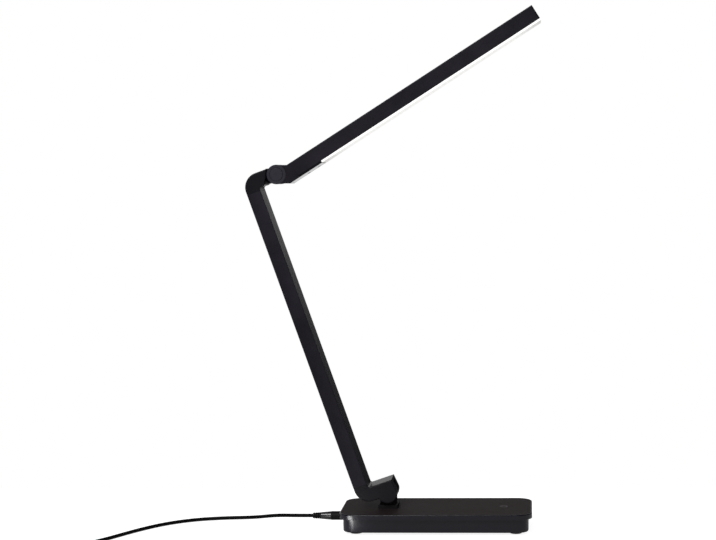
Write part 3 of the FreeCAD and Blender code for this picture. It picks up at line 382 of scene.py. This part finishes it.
boot_profile = np.stack([relief_start - rib_pitch * rib[:, None] - step[None, :],
                         crest[:, None] - depth[None, :]], axis=-1)
plug_boot = ring_skin("round_plug_relief", [turned(boot_profile.reshape(-1, 2), plug_axis, 0)], plug_matt)
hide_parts("plug_boot")


# Flat power plug at the lead's far end: a soft-cornered grip with a short cone, a folded steel shell with
# its two square windows painted as dark blocks of shade, and the black insert that carries the contacts.
def rounded_outline(corners, steps=8):
    """Closed outline through corners (a, b, radius): each corner turns into an arc that touches its sides at
    radius / tan(half its angle), with points that divide the turn evenly between the touching radii."""
    corner = np.array(corners, float)
    place, radius = corner[:, :2], corner[:, 2:]
    back = np.roll(place, 1, axis=0) - place
    back /= np.linalg.norm(back, axis=1, keepdims=True)
    ahead = np.roll(place, -1, axis=0) - place
    ahead /= np.linalg.norm(ahead, axis=1, keepdims=True)
    half = np.arccos(np.clip((back * ahead).sum(axis=1, keepdims=True), -1, 1)) / 2
    middle = (back + ahead) / np.linalg.norm(back + ahead, axis=1, keepdims=True)
    centre = place + middle * radius / np.sin(half)
    start = place + back * radius / np.tan(half) - centre
    stop = place + ahead * radius / np.tan(half) - centre
    turn = np.pi - 2 * half
    share = np.linspace(0, 1, steps + 1)[None, :]
    weight_start = (np.sin((1 - share) * turn) / np.sin(turn))[..., None]
    weight_stop = (np.sin(share * turn) / np.sin(turn))[..., None]
    arcs = centre[:, None] + weight_start * start[:, None] + weight_stop * stop[:, None]
    return arcs.reshape(-1, 2)


def oblong(centre, size, radius, steps=8):
    """Rounded rectangle about a centre."""
    a, b = size[0] / 2, size[1] / 2
    return rounded_outline([(centre[0] - a, centre[1] - b, radius), (centre[0] + a, centre[1] - b, radius),
                            (centre[0] + a, centre[1] + b, radius), (centre[0] - a, centre[1] + b, radius)],
                           steps)


def edge_levels(low, high, low_round, high_round, steps=4):
    """(inset, height, edge) rows across a plate: quarter circles at both ends, where the inset is
    r (1 - sin t) at r (1 - cos t) in from the end."""
    t = np.linspace(0, np.pi / 2, steps + 1)
    worn = np.sin(2 * t)
    first = np.stack([low_round * (1 - np.sin(t)), low + low_round * (1 - np.cos(t)), worn], axis=1)
    last = np.stack([high_round * (1 - np.sin(t)), high - high_round * (1 - np.cos(t)), worn], axis=1)
    return np.concatenate([first, last[::-1]])


def slab(outline, levels, axis, square=None):
    """Rings of a plate: the outline drawn in along its mitred normals by each level's inset, and set at its
    height on the axis. Where square is (k, value), points with that k-th value keep it. Edges rub at the
    levels' own roundings, and where the outline's turn over its step's length is large."""
    levels = np.array(levels, float)
    area = (outline[:, 0] * np.roll(outline[:, 1], -1) - np.roll(outline[:, 0], -1) * outline[:, 1]).sum()
    outline = outline if area > 0 else outline[::-1]
    ahead = np.roll(outline, -1, axis=0) - outline
    length = np.linalg.norm(ahead, axis=1, keepdims=True)
    ahead /= length
    normal = np.stack([ahead[:, 1], -ahead[:, 0]], axis=1)
    both = normal + np.roll(normal, 1, axis=0)
    mitre = 2 * both / (both * both).sum(axis=1, keepdims=True)
    if square is not None:
        mitre[np.abs(outline[:, square[0]] - square[1]) < 1e-6, square[0]] = 0.0
    flat = outline[None] - levels[:, 0][:, None, None] * mitre[None]
    rings = np.empty((len(levels), len(outline), 3))
    others = [k for k in range(3) if k != axis]
    rings[..., others[0]] = flat[..., 0]
    rings[..., others[1]] = flat[..., 1]
    rings[..., axis] = levels[:, 1][:, None]
    behind = np.roll(ahead, 1, axis=0)
    turn = np.arctan2(behind[:, 0] * ahead[:, 1] - behind[:, 1] * ahead[:, 0], (behind * ahead).sum(axis=1))
    rub_reach, least_turn, longest_step = 3.0, 0.05, 1.5
    tight = np.clip(turn * rub_reach / np.maximum(length[:, 0], 0.05), 0, 1)
    tight *= (turn > least_turn) * (length[:, 0] < longest_step)
    worn = np.maximum(levels[:, 2][:, None], tight[None, :])
    worn[[0, -1]] = 0.0
    return rings, worn


usb_y, usb_z = -170.1, 4.2
usb_cone = [(-286.4, 2.5), (-286.1, 2.8), (-285.6, 2.9), (-280.0, 3.1), (-275.5, 3.4)]
usb_grip = ring_skin("power_plug_grip", [
    slab(oblong((-263.4, usb_y), (26.0, 15.6), 2.6), edge_levels(0.0, 8.4, 1.6, 1.6, 6), 2),
    turned(usb_cone, (0, usb_y, usb_z), 0)], plug_gloss)
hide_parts("usb_grip")
plated = skin_finish("plated_steel", (0.52, 0.52, 0.53), (0.72, 0.72, 0.73),
                     sheen=(0.16, 0.30), grain=(0.8, 0.004), specular=0.5, edge=0.2, metal=1.0)
shell_edge = [(0.1, -250.5, 0), (0.0, -250.3, 0), (0.0, -237.6, 0), (0.08, -237.4, 1), (0.3, -237.4, 1),
              (0.36, -237.6, 0), (0.36, -249.9, 0)]
usb_shell = ring_skin("power_plug_shell", [slab(oblong((usb_y, usb_z), (12.0, 4.5), 0.5), shell_edge, 0)],
                      plated)
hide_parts("usb_shell")
# Painted shade: near-black blocks through the closed shell stand in for the shade inside its two windows.
painted_window_shade = skin_finish("painted_window_shade", (0.006, 0.006, 0.006), (0.012, 0.012, 0.012),
                          sheen=(0.6, 0.8), grain=(0.5, 0.01), specular=0.2)
windows = ring_skin("power_plug_painted_window_shade", [
    slab(oblong((-243.4, usb_y + side * 2.9), (2.0, 2.4), 0.15),
         [(0.0, usb_z - 2.27, 0), (0.0, usb_z + 2.27, 0)], 2)
    for side in (-1, 1)], painted_window_shade)


# Strap: a soft rubber band that holds the put-away turns together. It is closed round both layers of the
# coil, on the side towards the lamp, and lies flat on the table under them.
strap_middle, strap_size, strap_bend, strap_thick, strap_half = (20.65, 4.7), (22.3, 9.4), 3.2, 0.7, 3.0
strap_path = oblong(strap_middle, strap_size, strap_bend, 10)
strap_next = np.roll(strap_path, -1, axis=0) - np.roll(strap_path, 1, axis=0)
strap_next /= np.linalg.norm(strap_next, axis=1, keepdims=True)
strap_in = np.stack([-strap_next[:, 1], strap_next[:, 0]], axis=1)
section = oblong((strap_thick / 2, 0.0), (strap_thick, 2 * strap_half), 0.25, 3)
band_plane = strap_path[:, None, :] + section[None, :, :1] * strap_in[:, None, :]
band = np.stack([band_plane[..., 0], np.broadcast_to(section[None, :, 1], band_plane.shape[:2]),
                 band_plane[..., 1]], axis=-1)
strap_turn = math.radians(20.0)
band = np.stack([coil_middle[0] + band[..., 0] * math.cos(strap_turn) - band[..., 1] * math.sin(strap_turn),
                 coil_middle[1] + band[..., 0] * math.sin(strap_turn) + band[..., 1] * math.cos(strap_turn),
                 band[..., 2]], axis=-1)
rows, count = band.shape[:2]
near = np.arange(rows)[:, None] * count + np.arange(count)[None, :]
quads = np.stack([near, np.roll(near, -1, axis=0), np.roll(np.roll(near, -1, axis=0), -1, axis=1),
                  np.roll(near, -1, axis=1)], axis=-1).reshape(-1, 4)
strap_mesh = bpy.data.meshes.new("coil_strap")
strap_mesh.from_pydata((band.reshape(-1, 3) * 0.001).tolist(), [], quads.tolist())
strap_mesh.polygons.foreach_set("use_smooth", np.ones(len(quads), bool))
strap_mesh.materials.append(lead_skin)
strap = bpy.data.objects.new("coil_strap", strap_mesh)
scene.collection.objects.link(strap)
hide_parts("coil_tie")
cord_pieces = [plug_grip, plug_boot, usb_grip, usb_shell, windows, strap]
for piece in [lead, *cord_pieces]:
    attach(piece, "base")
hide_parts("lead_run", "lead_coil", "lead_tail")

# Base tray: a black moulded tub whose walls stand back under the cover's rim, on four rubber pads that
# hide its screws. Its smooth mould skin has a soft gloss, which the cover's rim shares.
base_skin = skin_finish("base_skin", (0.0046, 0.0042, 0.0078), (0.0088, 0.0080, 0.0150),
                        sheen=(0.20, 0.27), grain=(0.45, 0.006), specular=0.48, edge=0.05)
base_long, base_wide, base_corner = 189.8, 85.0, 15.0
base_outline = oblong((0, 0), (base_long, base_wide), base_corner, 24)
wall_out, wall_in, tray_low, tray_floor, tray_high = 3.6, 5.8, 2.4, 4.4, 15.58
tray_levels = [(wall_in, tray_floor, 0), (wall_in, tray_high, 0), (wall_out, tray_high, 0)]
tray_round = edge_levels(tray_low, tray_high, 1.5, 0.0, 6)[:7][::-1]
tray_levels += [(wall_out + inset, z, worn) for inset, z, worn in tray_round]
tray = ring_skin("base_tub", [slab(base_outline, tray_levels, 2)], base_skin)
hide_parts("base_tray")
pad_rubber = skin_finish("pad_rubber", (0.010, 0.010, 0.010), (0.022, 0.022, 0.022),
                         sheen=(0.6, 0.8), grain=(0.8, 0.03), specular=0.2)
pad_profile = [(0.0, 5.3), (0.06, 5.62), (0.2, 5.85), (0.5, 6.0), (3.1, 6.0)]
pad_x, pad_y = 78.8, 26.0
pads = ring_skin("rubber_pads", [turned(pad_profile, (pad_x * sx, pad_y * sy, 0.0), 2, 48)
                                 for sx in (-1, 1) for sy in (-1, 1)], pad_rubber)
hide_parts("foot_pads")

# Base cover: a moulded lid with a rounded rim that overhangs the tub. Its top has a fine matt grain and is
# plain but for the small printed touch sign over the sensor.
cover_top, cover_low, cover_roof, skirt_in = 21.0, 15.6, 18.8, 7.35
lid_texture = skin_finish("lid_texture", (0.0160, 0.0112, 0.0116), (0.0285, 0.0203, 0.0210),
                          sheen=(0.56, 0.68), grain=(0.35, 0.05), specular=0.08)
cover_levels = [(skirt_in, cover_roof, 0), (skirt_in, cover_low, 0),
                *edge_levels(cover_low, cover_top, 0.35, 1.0, 6)]
cover = ring_skin("base_lid", [slab(base_outline, cover_levels, 2)], base_skin)
cover.data.materials.append(lid_texture)
cover.data.polygons[-1].material_index = 1
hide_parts("base_cover")
sign_ink = skin_finish("sign_ink", (0.075, 0.072, 0.072), (0.10, 0.097, 0.097),
                       sheen=(0.4, 0.5), grain=(0.6, 0.004), specular=0.3)
sweep = np.radians(np.linspace(215.0, 505.0, 60))
sign_middle, sign_inner, sign_outer = 66.7, 3.1, 3.9
sign_radius = np.repeat((sign_inner, sign_outer), len(sweep))
sweep = np.concatenate([sweep, sweep[::-1]])
sign_outline = np.stack([sign_middle + sign_radius * np.cos(sweep), sign_radius * np.sin(sweep)], axis=-1)
sign_bar = oblong((sign_middle - 2.6, 0.0), (3.6, 0.8), 0.3, 4)
sign_levels = [(0, cover_top - 0.01, 0), (0, cover_top + 0.015, 0)]
sign = ring_skin("touch_sign", [slab(sign_outline, sign_levels, 2), slab(sign_bar, sign_levels, 2)], sign_ink)
for piece in (tray, pads, cover, sign):
    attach(piece, "base")

# Hinge pedestal: a matt moulding screwed to the lid, with a flange and a round-topped tongue that the arm's
# cheeks close on.
pedestal_matt = skin_finish("pedestal_matt", (0.0090, 0.0088, 0.0094), (0.0170, 0.0166, 0.0178),
                            sheen=(0.5, 0.62), grain=(0.5, 0.02), specular=0.08)


def arc(centre, radius, start, stop, steps=24):
    """Points of a circle's arc between two angles in degrees, turning from start to stop."""
    angle = np.radians(np.linspace(start, stop, steps + 1))
    return np.stack([centre[0] + radius * np.cos(angle), centre[1] + radius * np.sin(angle)], axis=1)


lower_axis = np.array((-48.1, 0.0, 36.7))
tongue_round, tongue_half, tongue_side, tongue_foot = 9.0, 6.2, 8.2, -12.9
flange_size, flange_thick = (20.0, 23.0), 3.6
tongue = np.concatenate([[(-tongue_side, tongue_foot), (tongue_side, tongue_foot)],
                         arc((0, 0), tongue_round, -24.35, 204.35, 40)])
tongue_rings, tongue_edge = slab(tongue, edge_levels(-tongue_half, tongue_half, 0.3, 0.3), 1)
pedestal = ring_skin("hinge_pedestal_moulding", [
    slab(oblong(lower_axis[:2], flange_size, 2.0),
         edge_levels(cover_top, cover_top + flange_thick, 0.0, 0.6), 2),
    (tongue_rings + lower_axis, tongue_edge)], pedestal_matt)
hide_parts("hinge_pedestal")
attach(pedestal, "base")


# Lower elbow: one moulding that turns the arm's foot through a right angle and ends in two cheeks round the
# pedestal's tongue. A skin above the tongue joins them, and the back cheek takes the bolt under a cap.
def set_at(stack, tilt, hinge):
    """One stack of rings turned by a tilt in degrees about the Y axis, +X towards +Z, and set at a hinge."""
    points, worn = stack
    along, rise = math.cos(math.radians(tilt)), math.sin(math.radians(tilt))
    x = points[..., 0] * along - points[..., 2] * rise
    z = points[..., 0] * rise + points[..., 2] * along
    return np.stack([x, points[..., 1], z], axis=-1) + hinge, worn


def on_arm(stack):
    """One stack of rings from the upright arm to its lean, about the lower hinge."""
    return set_at(stack, arm_lean, lower_axis)


satin = skin_finish("satin_moulding", (0.0066, 0.0060, 0.0080), (0.0136, 0.0125, 0.0165),
                    sheen=(0.26, 0.34), grain=(0.5, 0.010), specular=0.17, edge=0.5)
arm_lean, arm_half, arm_outer, arm_inner = 18.7, 16.0, -30.35, -16.05
foot_seam, foot_top, foot_low = 15.7, 12.0, -2.3
elbow_out, elbow_in, elbow_edge = 15.0, 2.0, 1.1
cheek_round, web_round, cheek_in, web_half = 9.7, 9.5, 6.9, 7.0
foot_outer = arc((arm_outer + elbow_out, foot_low + elbow_out), elbow_out, 180, 270, 20)
foot_inner = np.concatenate([[(8.5, foot_top)],
                             arc((arm_inner + elbow_in, foot_top + elbow_in), elbow_in, 270, 180, 8),
                             [(arm_inner, foot_seam), (arm_outer, foot_seam)]])
foot_cheek = np.concatenate([foot_outer, arc((0, 0), cheek_round, 193.7, 365.97, 60), foot_inner])
foot_web = np.concatenate([foot_outer, [(-11.18, foot_low)], arc((0, 0), web_round, 174.9, 90, 20),
                           [(8.76, web_round)], foot_inner])
lower_elbow = ring_skin("lower_elbow_moulding", [
    on_arm(slab(foot_cheek, edge_levels(-arm_half, -cheek_in, elbow_edge, 0.2), 1, (1, foot_seam))),
    on_arm(slab(foot_web, [(0, -web_half, 0), (0, web_half, 0)], 1)),
    on_arm(slab(foot_cheek, edge_levels(cheek_in, arm_half, 0.2, elbow_edge), 1, (1, foot_seam)))], satin)
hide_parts("lower_elbow")
cap_profile = [(14.1, 6.5), (15.9, 6.5), (16.12, 6.44), (16.26, 6.3), (16.3, 6.1), (16.36, 3.0), (16.37, 0.4)]
lower_cap = ring_skin("lower_bolt_cap", [on_arm(turned(cap_profile, (0, 0, 0), 1))], satin)
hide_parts("lower_hinge_cap")

# Arm tube: a drawn rectangular tube with a thin black coat, pushed over the spigots of both elbows so that
# only fine seams show.
coat = skin_finish("black_coat", (0.0118, 0.0108, 0.0144), (0.0230, 0.0210, 0.0281),
                   sheen=(0.24, 0.32), grain=(0.9, 0.008), specular=0.11, edge=0.5)
tube_end = 326.7
tube_levels = [(0.16, foot_seam + 0.03, 1), (0.0, foot_seam + 0.2, 0), (0.0, tube_end - 0.2, 0),
               (0.16, tube_end - 0.03, 1)]
tube_outline = oblong(((arm_outer + arm_inner) / 2, 0.0), (arm_inner - arm_outer, 2 * arm_half), 1.2)
tube = ring_skin("arm_tube_coated", [on_arm(slab(tube_outline, tube_levels, 2))], coat)
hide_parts("arm_tube")

# Upper elbow: the arm's other moulded corner, hollowed round the bar's knuckle and drawn out into the tongue
# that carries the upper hinge.
upper_in_arm = np.array((4.5, 336.05))
stub = np.concatenate([[(arm_outer, tube_end), (arm_inner, tube_end)],
                       upper_in_arm + arc((-18.55, -7.65), elbow_in, 180, 90, 8),
                       upper_in_arm + arc((-15.45, -4.05), 1.6, -90, 0, 8), upper_in_arm + [(-13.85, -3.07)],
                       upper_in_arm + arc((0, 0), 10.8, 169.5, 126.8, 14),
                       upper_in_arm + arc((-19.85, -6.35), elbow_out, 90, 180, 20)])
upper_tongue = upper_in_arm + np.concatenate([[(-13.0, -5.65)],
                                              arc((0, 0), tongue_round, 218.9, 474.3, 48),
                                              [(-13.0, tongue_side)]])
upper_elbow = ring_skin("upper_elbow_moulding", [
    on_arm(slab(stub, edge_levels(-arm_half, arm_half, elbow_edge, elbow_edge), 1, (1, tube_end))),
    on_arm(slab(upper_tongue, edge_levels(-tongue_half, tongue_half, 0.2, 0.2), 1))], satin)
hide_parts("upper_elbow")
for piece in (lower_elbow, lower_cap, tube, upper_elbow):
    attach(piece, "arm")


# Knuckle: the bar's rear moulding, two cheeks with raised round faces that bend down into the bar. Its tail
# runs on under the channel as far as the opal strip, level with it, and is held by two screws.
upper_axis, bar_rise = np.array((-151.5795, 0.0, 356.4528)), 31.45


def on_bar(stack):
    """One stack of rings from the level bar to its rise, about the upper hinge."""
    return set_at(stack, bar_rise, upper_axis)


bar_seam, bar_top, bar_low, strip_low, strip_start = 18.0, 2.35, -12.75, -14.85, 45.0
neck_edge, tail_back, tail_stop = 0.7, 6.9, strip_start - 0.1
neck = [(6.667, strip_low), (bar_seam, strip_low), (bar_seam, bar_top), (13.74, bar_top)]
bar_cheek = np.concatenate([neck, arc((0, 0), cheek_round, 43.0, 260.7, 60)])
bar_web = np.concatenate([neck, [(8.7, 5.59)], arc((0, 0), web_round, 23.7, -48.8, 20)])
tail_plate = oblong(((tail_back + tail_stop) / 2, 0.0), (tail_stop - tail_back, 31.96), neck_edge, 4)
round_face = [(15.8, 9.7), (16.12, 9.7), (16.3, 9.64), (16.43, 9.5), (16.5, 9.25), (16.5, 6.95),
              (16.44, 6.78), (16.3, 6.7), (15.7, 6.7)]
bolt_cap = [(15.8, 6.5), (16.48, 6.5), (16.64, 6.45), (16.75, 6.32), (16.8, 6.1), (16.86, 3.0), (16.87, 0.4)]
knuckle_stacks = [slab(bar_cheek, edge_levels(-arm_half, -cheek_in, neck_edge, 0.2), 1, (0, bar_seam)),
                  slab(bar_web, [(0, -web_half, 0), (0, web_half, 0)], 1),
                  slab(bar_cheek, edge_levels(cheek_in, arm_half, 0.2, neck_edge), 1, (0, bar_seam)),
                  slab(tail_plate, edge_levels(strip_low - 0.02, bar_low - 0.03, neck_edge, 0.0), 2)]
cap_stacks = []
for side in (-1, 1):
    mirror = np.array((1, side, 1))
    for profile, stacks in ((round_face, knuckle_stacks), (bolt_cap, cap_stacks)):
        rings, edge = turned(profile, (0, 0, 0), 1, 96)
        stacks.append((rings * mirror, edge))
disc_satin = skin_finish("disc_satin", (0.0215, 0.0203, 0.0272), (0.0383, 0.0363, 0.0487),
                         sheen=(0.34, 0.44), grain=(0.5, 0.02), specular=0.16, edge=0.6)
tail_gloss = skin_finish("tail_gloss", (0.0066, 0.0060, 0.0080), (0.0136, 0.0125, 0.0165),
                         sheen=(0.07, 0.11), grain=(0.5, 0.002), specular=0.6)
knuckle = ring_skin("bar_knuckle", [on_bar(stack) for stack in knuckle_stacks], coat, disc_satin, tail_gloss,
                    slots=(0, 0, 0, 2, 1, 1))
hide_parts("head_knuckle")
caps = ring_skin("upper_bolt_caps", [on_bar(stack) for stack in cap_stacks], disc_satin)
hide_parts("upper_hinge_caps")
black_zinc = skin_finish("black_zinc", (0.03, 0.03, 0.032), (0.07, 0.07, 0.072),
                         sheen=(0.28, 0.42), grain=(0.6, 0.01), specular=0.5, metal=1.0)
screw_profile = [(-13.5, 2.5), (-14.6, 2.5), (-14.82, 2.35), (-14.93, 1.9), (-14.95, 1.2), (-14.6, 0.9),
                 (-14.2, 0.3)]
screw_y, screw_places = 6.725, (26.0, 38.0)
screws = ring_skin("tail_screws", [on_bar(turned(screw_profile, (x, screw_y, 0), 2, 32))
                                   for x in screw_places], black_zinc)
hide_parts("head_screws")

# Light bar: a drawn channel with a fine black coat, closed at its tip by a moulded end and underneath by the
# opal strip, which stands a little out of it and snaps over ledges inside its walls.
wall_face, ledge_face, ledge_low, ledge_high, roof = 14.6, 13.6, -10.6, -9.6, 0.95
channel_half = [(arm_half, bar_top, 1.0), (arm_half, bar_low, 0.3), (wall_face, bar_low, 0.15),
                (wall_face, ledge_low, 0.05), (ledge_face, ledge_low, 0.05), (ledge_face, ledge_high, 0.05),
                (wall_face, ledge_high, 0.05), (wall_face, roof, 0.05)]
channel_corners = channel_half + [(-y, z, r) for y, z, r in reversed(channel_half)]
tip_seam, tip = 297.7, 299.3
channel_levels = [(0.04, bar_seam + 0.03, 1), (0.0, bar_seam + 0.2, 0), (0.0, tip_seam - 0.15, 0),
                  (0.04, tip_seam - 0.03, 1)]
channel_outline = rounded_outline(channel_corners, 6)
channel = ring_skin("bar_channel", [on_bar(slab(channel_outline, channel_levels, 0))], coat)
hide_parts("head_housing")
tip_outline = rounded_outline([(arm_half, bar_top, 1.0), (-arm_half, bar_top, 1.0),
                               (-arm_half, bar_low, 0.3), (arm_half, bar_low, 0.3)], 6)
tip_levels = [(0.1, tip_seam + 0.02, 1), (0.0, tip_seam + 0.15, 0),
              *edge_levels(tip_seam + 0.3, tip, 0.0, 0.28)[5:]]
bar_tip = ring_skin("bar_tip", [on_bar(slab(tip_outline, tip_levels, 0))], satin)
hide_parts("head_tip_cap")

# Opal strip: milky plastic that glows evenly over the chips behind it. Its glow is cut on the underside as
# painted shade, a shade dimmer than its edges and darker still towards both ends of the strip.
opal = bpy.data.materials.new("opal_glow")
opal.use_nodes = True
nodes, links = opal.node_tree.nodes, opal.node_tree.links
surface = nodes["Principled BSDF"]
where = nodes.new("ShaderNodeTexCoord")
rise = math.radians(bar_rise)
along, down = nodes.new("ShaderNodeVectorMath"), nodes.new("ShaderNodeVectorMath")
along.operation = down.operation = "DOT_PRODUCT"
along.inputs[1].default_value = (math.cos(rise), 0.0, math.sin(rise))
down.inputs[1].default_value = (math.sin(rise), 0.0, -math.cos(rise))
links.new(where.outputs["Object"], along.inputs[0])
links.new(where.outputs["Normal"], down.inputs[0])
chip_pitch, chip_light, underside_painted_shade, end_painted_shade = 0.0065, 0.02, 0.14, 0.30
glow_start, glow_stop, end_fade = 0.102, 0.356, 0.030
wave = math_node(nodes, links, "MULTIPLY", along.outputs["Value"], 2 * math.pi / chip_pitch)
wave = math_node(nodes, links, "COSINE", wave, 0.0)
# Painted shade: the glow is dimmed on downward faces, and more towards both ends of the strip.
end_painted_shade_ramps = [mapped(nodes, links, along.outputs["Value"], end, end + inwards, end_painted_shade, 0.0)
            for end, inwards in ((glow_start, end_fade), (glow_stop, -end_fade))]
under = math_node(nodes, links, "MAXIMUM", down.outputs["Value"], 0.0)
painted_shade = math_node(nodes, links, "ADD", math_node(nodes, links, "ADD", *end_painted_shade_ramps), underside_painted_shade)
lit = math_node(nodes, links, "MULTIPLY", wave, chip_light)
lit = math_node(nodes, links, "ADD", lit, 1.0 - chip_light)
lit = math_node(nodes, links, "SUBTRACT", lit, math_node(nodes, links, "MULTIPLY", under, painted_shade))
milk = nodes.new("ShaderNodeTexNoise")
milk.inputs["Scale"].default_value = 900.0
links.new(where.outputs["Object"], milk.inputs["Vector"])
glow = nodes.new("ShaderNodeMix")
glow.data_type = "RGBA"
glow.inputs["A"].default_value = (0.0, 0.0, 0.0, 1.0)
glow.inputs["B"].default_value = (1.0, 0.99, 0.97, 1.0)
links.new(lit, glow.inputs["Factor"])
links.new(glow.outputs["Result"], surface.inputs["Emission Color"])
body = nodes.new("ShaderNodeMix")
body.data_type = "RGBA"
body.inputs["A"].default_value = (0.47, 0.47, 0.46, 1.0)
body.inputs["B"].default_value = (0.53, 0.53, 0.52, 1.0)
links.new(milk.outputs["Fac"], body.inputs["Factor"])
links.new(body.outputs["Result"], surface.inputs["Base Color"])
frost = nodes.new("ShaderNodeBump")
frost.inputs["Strength"].default_value = 0.3
frost.inputs["Distance"].default_value = 0.00002
links.new(milk.outputs["Fac"], frost.inputs["Height"])
links.new(frost.outputs["Normal"], surface.inputs["Normal"])
surface.inputs["Roughness"].default_value = 0.5
surface.inputs["Emission Strength"].default_value = 0.85
strip_levels = [(0.25, strip_start, 0), (0.0, strip_start + 0.25, 0), (0.0, tip - 0.35, 0),
                (0.25, tip - 0.1, 0)]
strip_top = bar_low - 0.04
strip_plate = oblong((0.0, (strip_low + strip_top) / 2), (31.9, strip_top - strip_low), 0.35, 5)
strip_neck = oblong((0.0, -11.75), (28.9, 2.0), 0.25, 4)
neck_levels = [(0.0, strip_start + 0.15, 0), (0.0, tip_seam - 0.15, 0)]
strip = ring_skin("opal_strip", [on_bar(slab(strip_plate, strip_levels, 0)),
                                 on_bar(slab(strip_neck, neck_levels, 0))], opal)
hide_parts("diffuser")
for piece in (knuckle, caps, screws, channel, bar_tip, strip):
    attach(piece, "head")

# Inner pieces: the iron ballast, the boards, the wires and the hinges' steel hardware, screwed or clamped
# inside the mouldings. They keep their CAD shapes and get finishes of their own.
inner_finish = {
    "ballast": skin_finish("raw_casting", (0.06, 0.06, 0.062), (0.13, 0.125, 0.12),
                           sheen=(0.5, 0.75), grain=(1.5, 0.12), specular=0.4, metal=1.0),
    "steel": skin_finish("zinc_steel", (0.42, 0.43, 0.44), (0.58, 0.58, 0.60),
                         sheen=(0.25, 0.42), grain=(0.7, 0.006), specular=0.5, metal=1.0),
    "brass": skin_finish("plain_brass", (0.60, 0.43, 0.17), (0.74, 0.56, 0.27),
                         sheen=(0.22, 0.38), grain=(0.8, 0.005), specular=0.5, metal=1.0),
    "board": skin_finish("green_mask", (0.016, 0.10, 0.045), (0.03, 0.17, 0.075),
                         sheen=(0.3, 0.42), grain=(0.9, 0.006), specular=0.5),
    "led_board": skin_finish("white_mask", (0.74, 0.74, 0.72), (0.84, 0.84, 0.82),
                             sheen=(0.35, 0.5), grain=(0.9, 0.006), specular=0.5),
    "component": skin_finish("component_black", (0.012, 0.012, 0.013), (0.03, 0.03, 0.032),
                             sheen=(0.4, 0.6), grain=(0.4, 0.01), specular=0.4),
    "washer": skin_finish("nylon", (0.66, 0.64, 0.58), (0.78, 0.76, 0.70),
                          sheen=(0.35, 0.5), grain=(0.7, 0.006), specular=0.4),
    "wire": skin_finish("wire_skin", (0.012, 0.012, 0.013), (0.028, 0.028, 0.03),
                        sheen=(0.35, 0.5), grain=(0.5, 0.01), specular=0.4),
    "pad_rubber": pad_rubber, "plug_metal": plated, "elbow_plastic": satin, "base_shell": base_skin,
    "lead": lead_skin, "bar_metal": coat, "opal": opal,
}
phosphor = bpy.data.materials.new("phosphor")
phosphor.use_nodes = True
nodes, links = phosphor.node_tree.nodes, phosphor.node_tree.links
surface = nodes["Principled BSDF"]
where = nodes.new("ShaderNodeTexCoord")
powder = nodes.new("ShaderNodeTexNoise")
powder.inputs["Scale"].default_value = 3000.0
links.new(where.outputs["Object"], powder.inputs["Vector"])
gel = nodes.new("ShaderNodeMix")
gel.data_type = "RGBA"
gel.inputs["A"].default_value = (0.80, 0.70, 0.32, 1.0)
gel.inputs["B"].default_value = (0.90, 0.84, 0.52, 1.0)
links.new(powder.outputs["Fac"], gel.inputs["Factor"])
links.new(gel.outputs["Result"], surface.inputs["Base Color"])
surface.inputs["Emission Color"].default_value = (1.0, 0.98, 0.92, 1.0)
surface.inputs["Emission Strength"].default_value = 6.0
inner_finish["led"] = phosphor
for subpart in frame["record"]["subparts"]:
    node = frame["nodes"][subpart["node"]]
    for place in node.material_slots:
        place.material = inner_finish[subpart["material_slot"]]
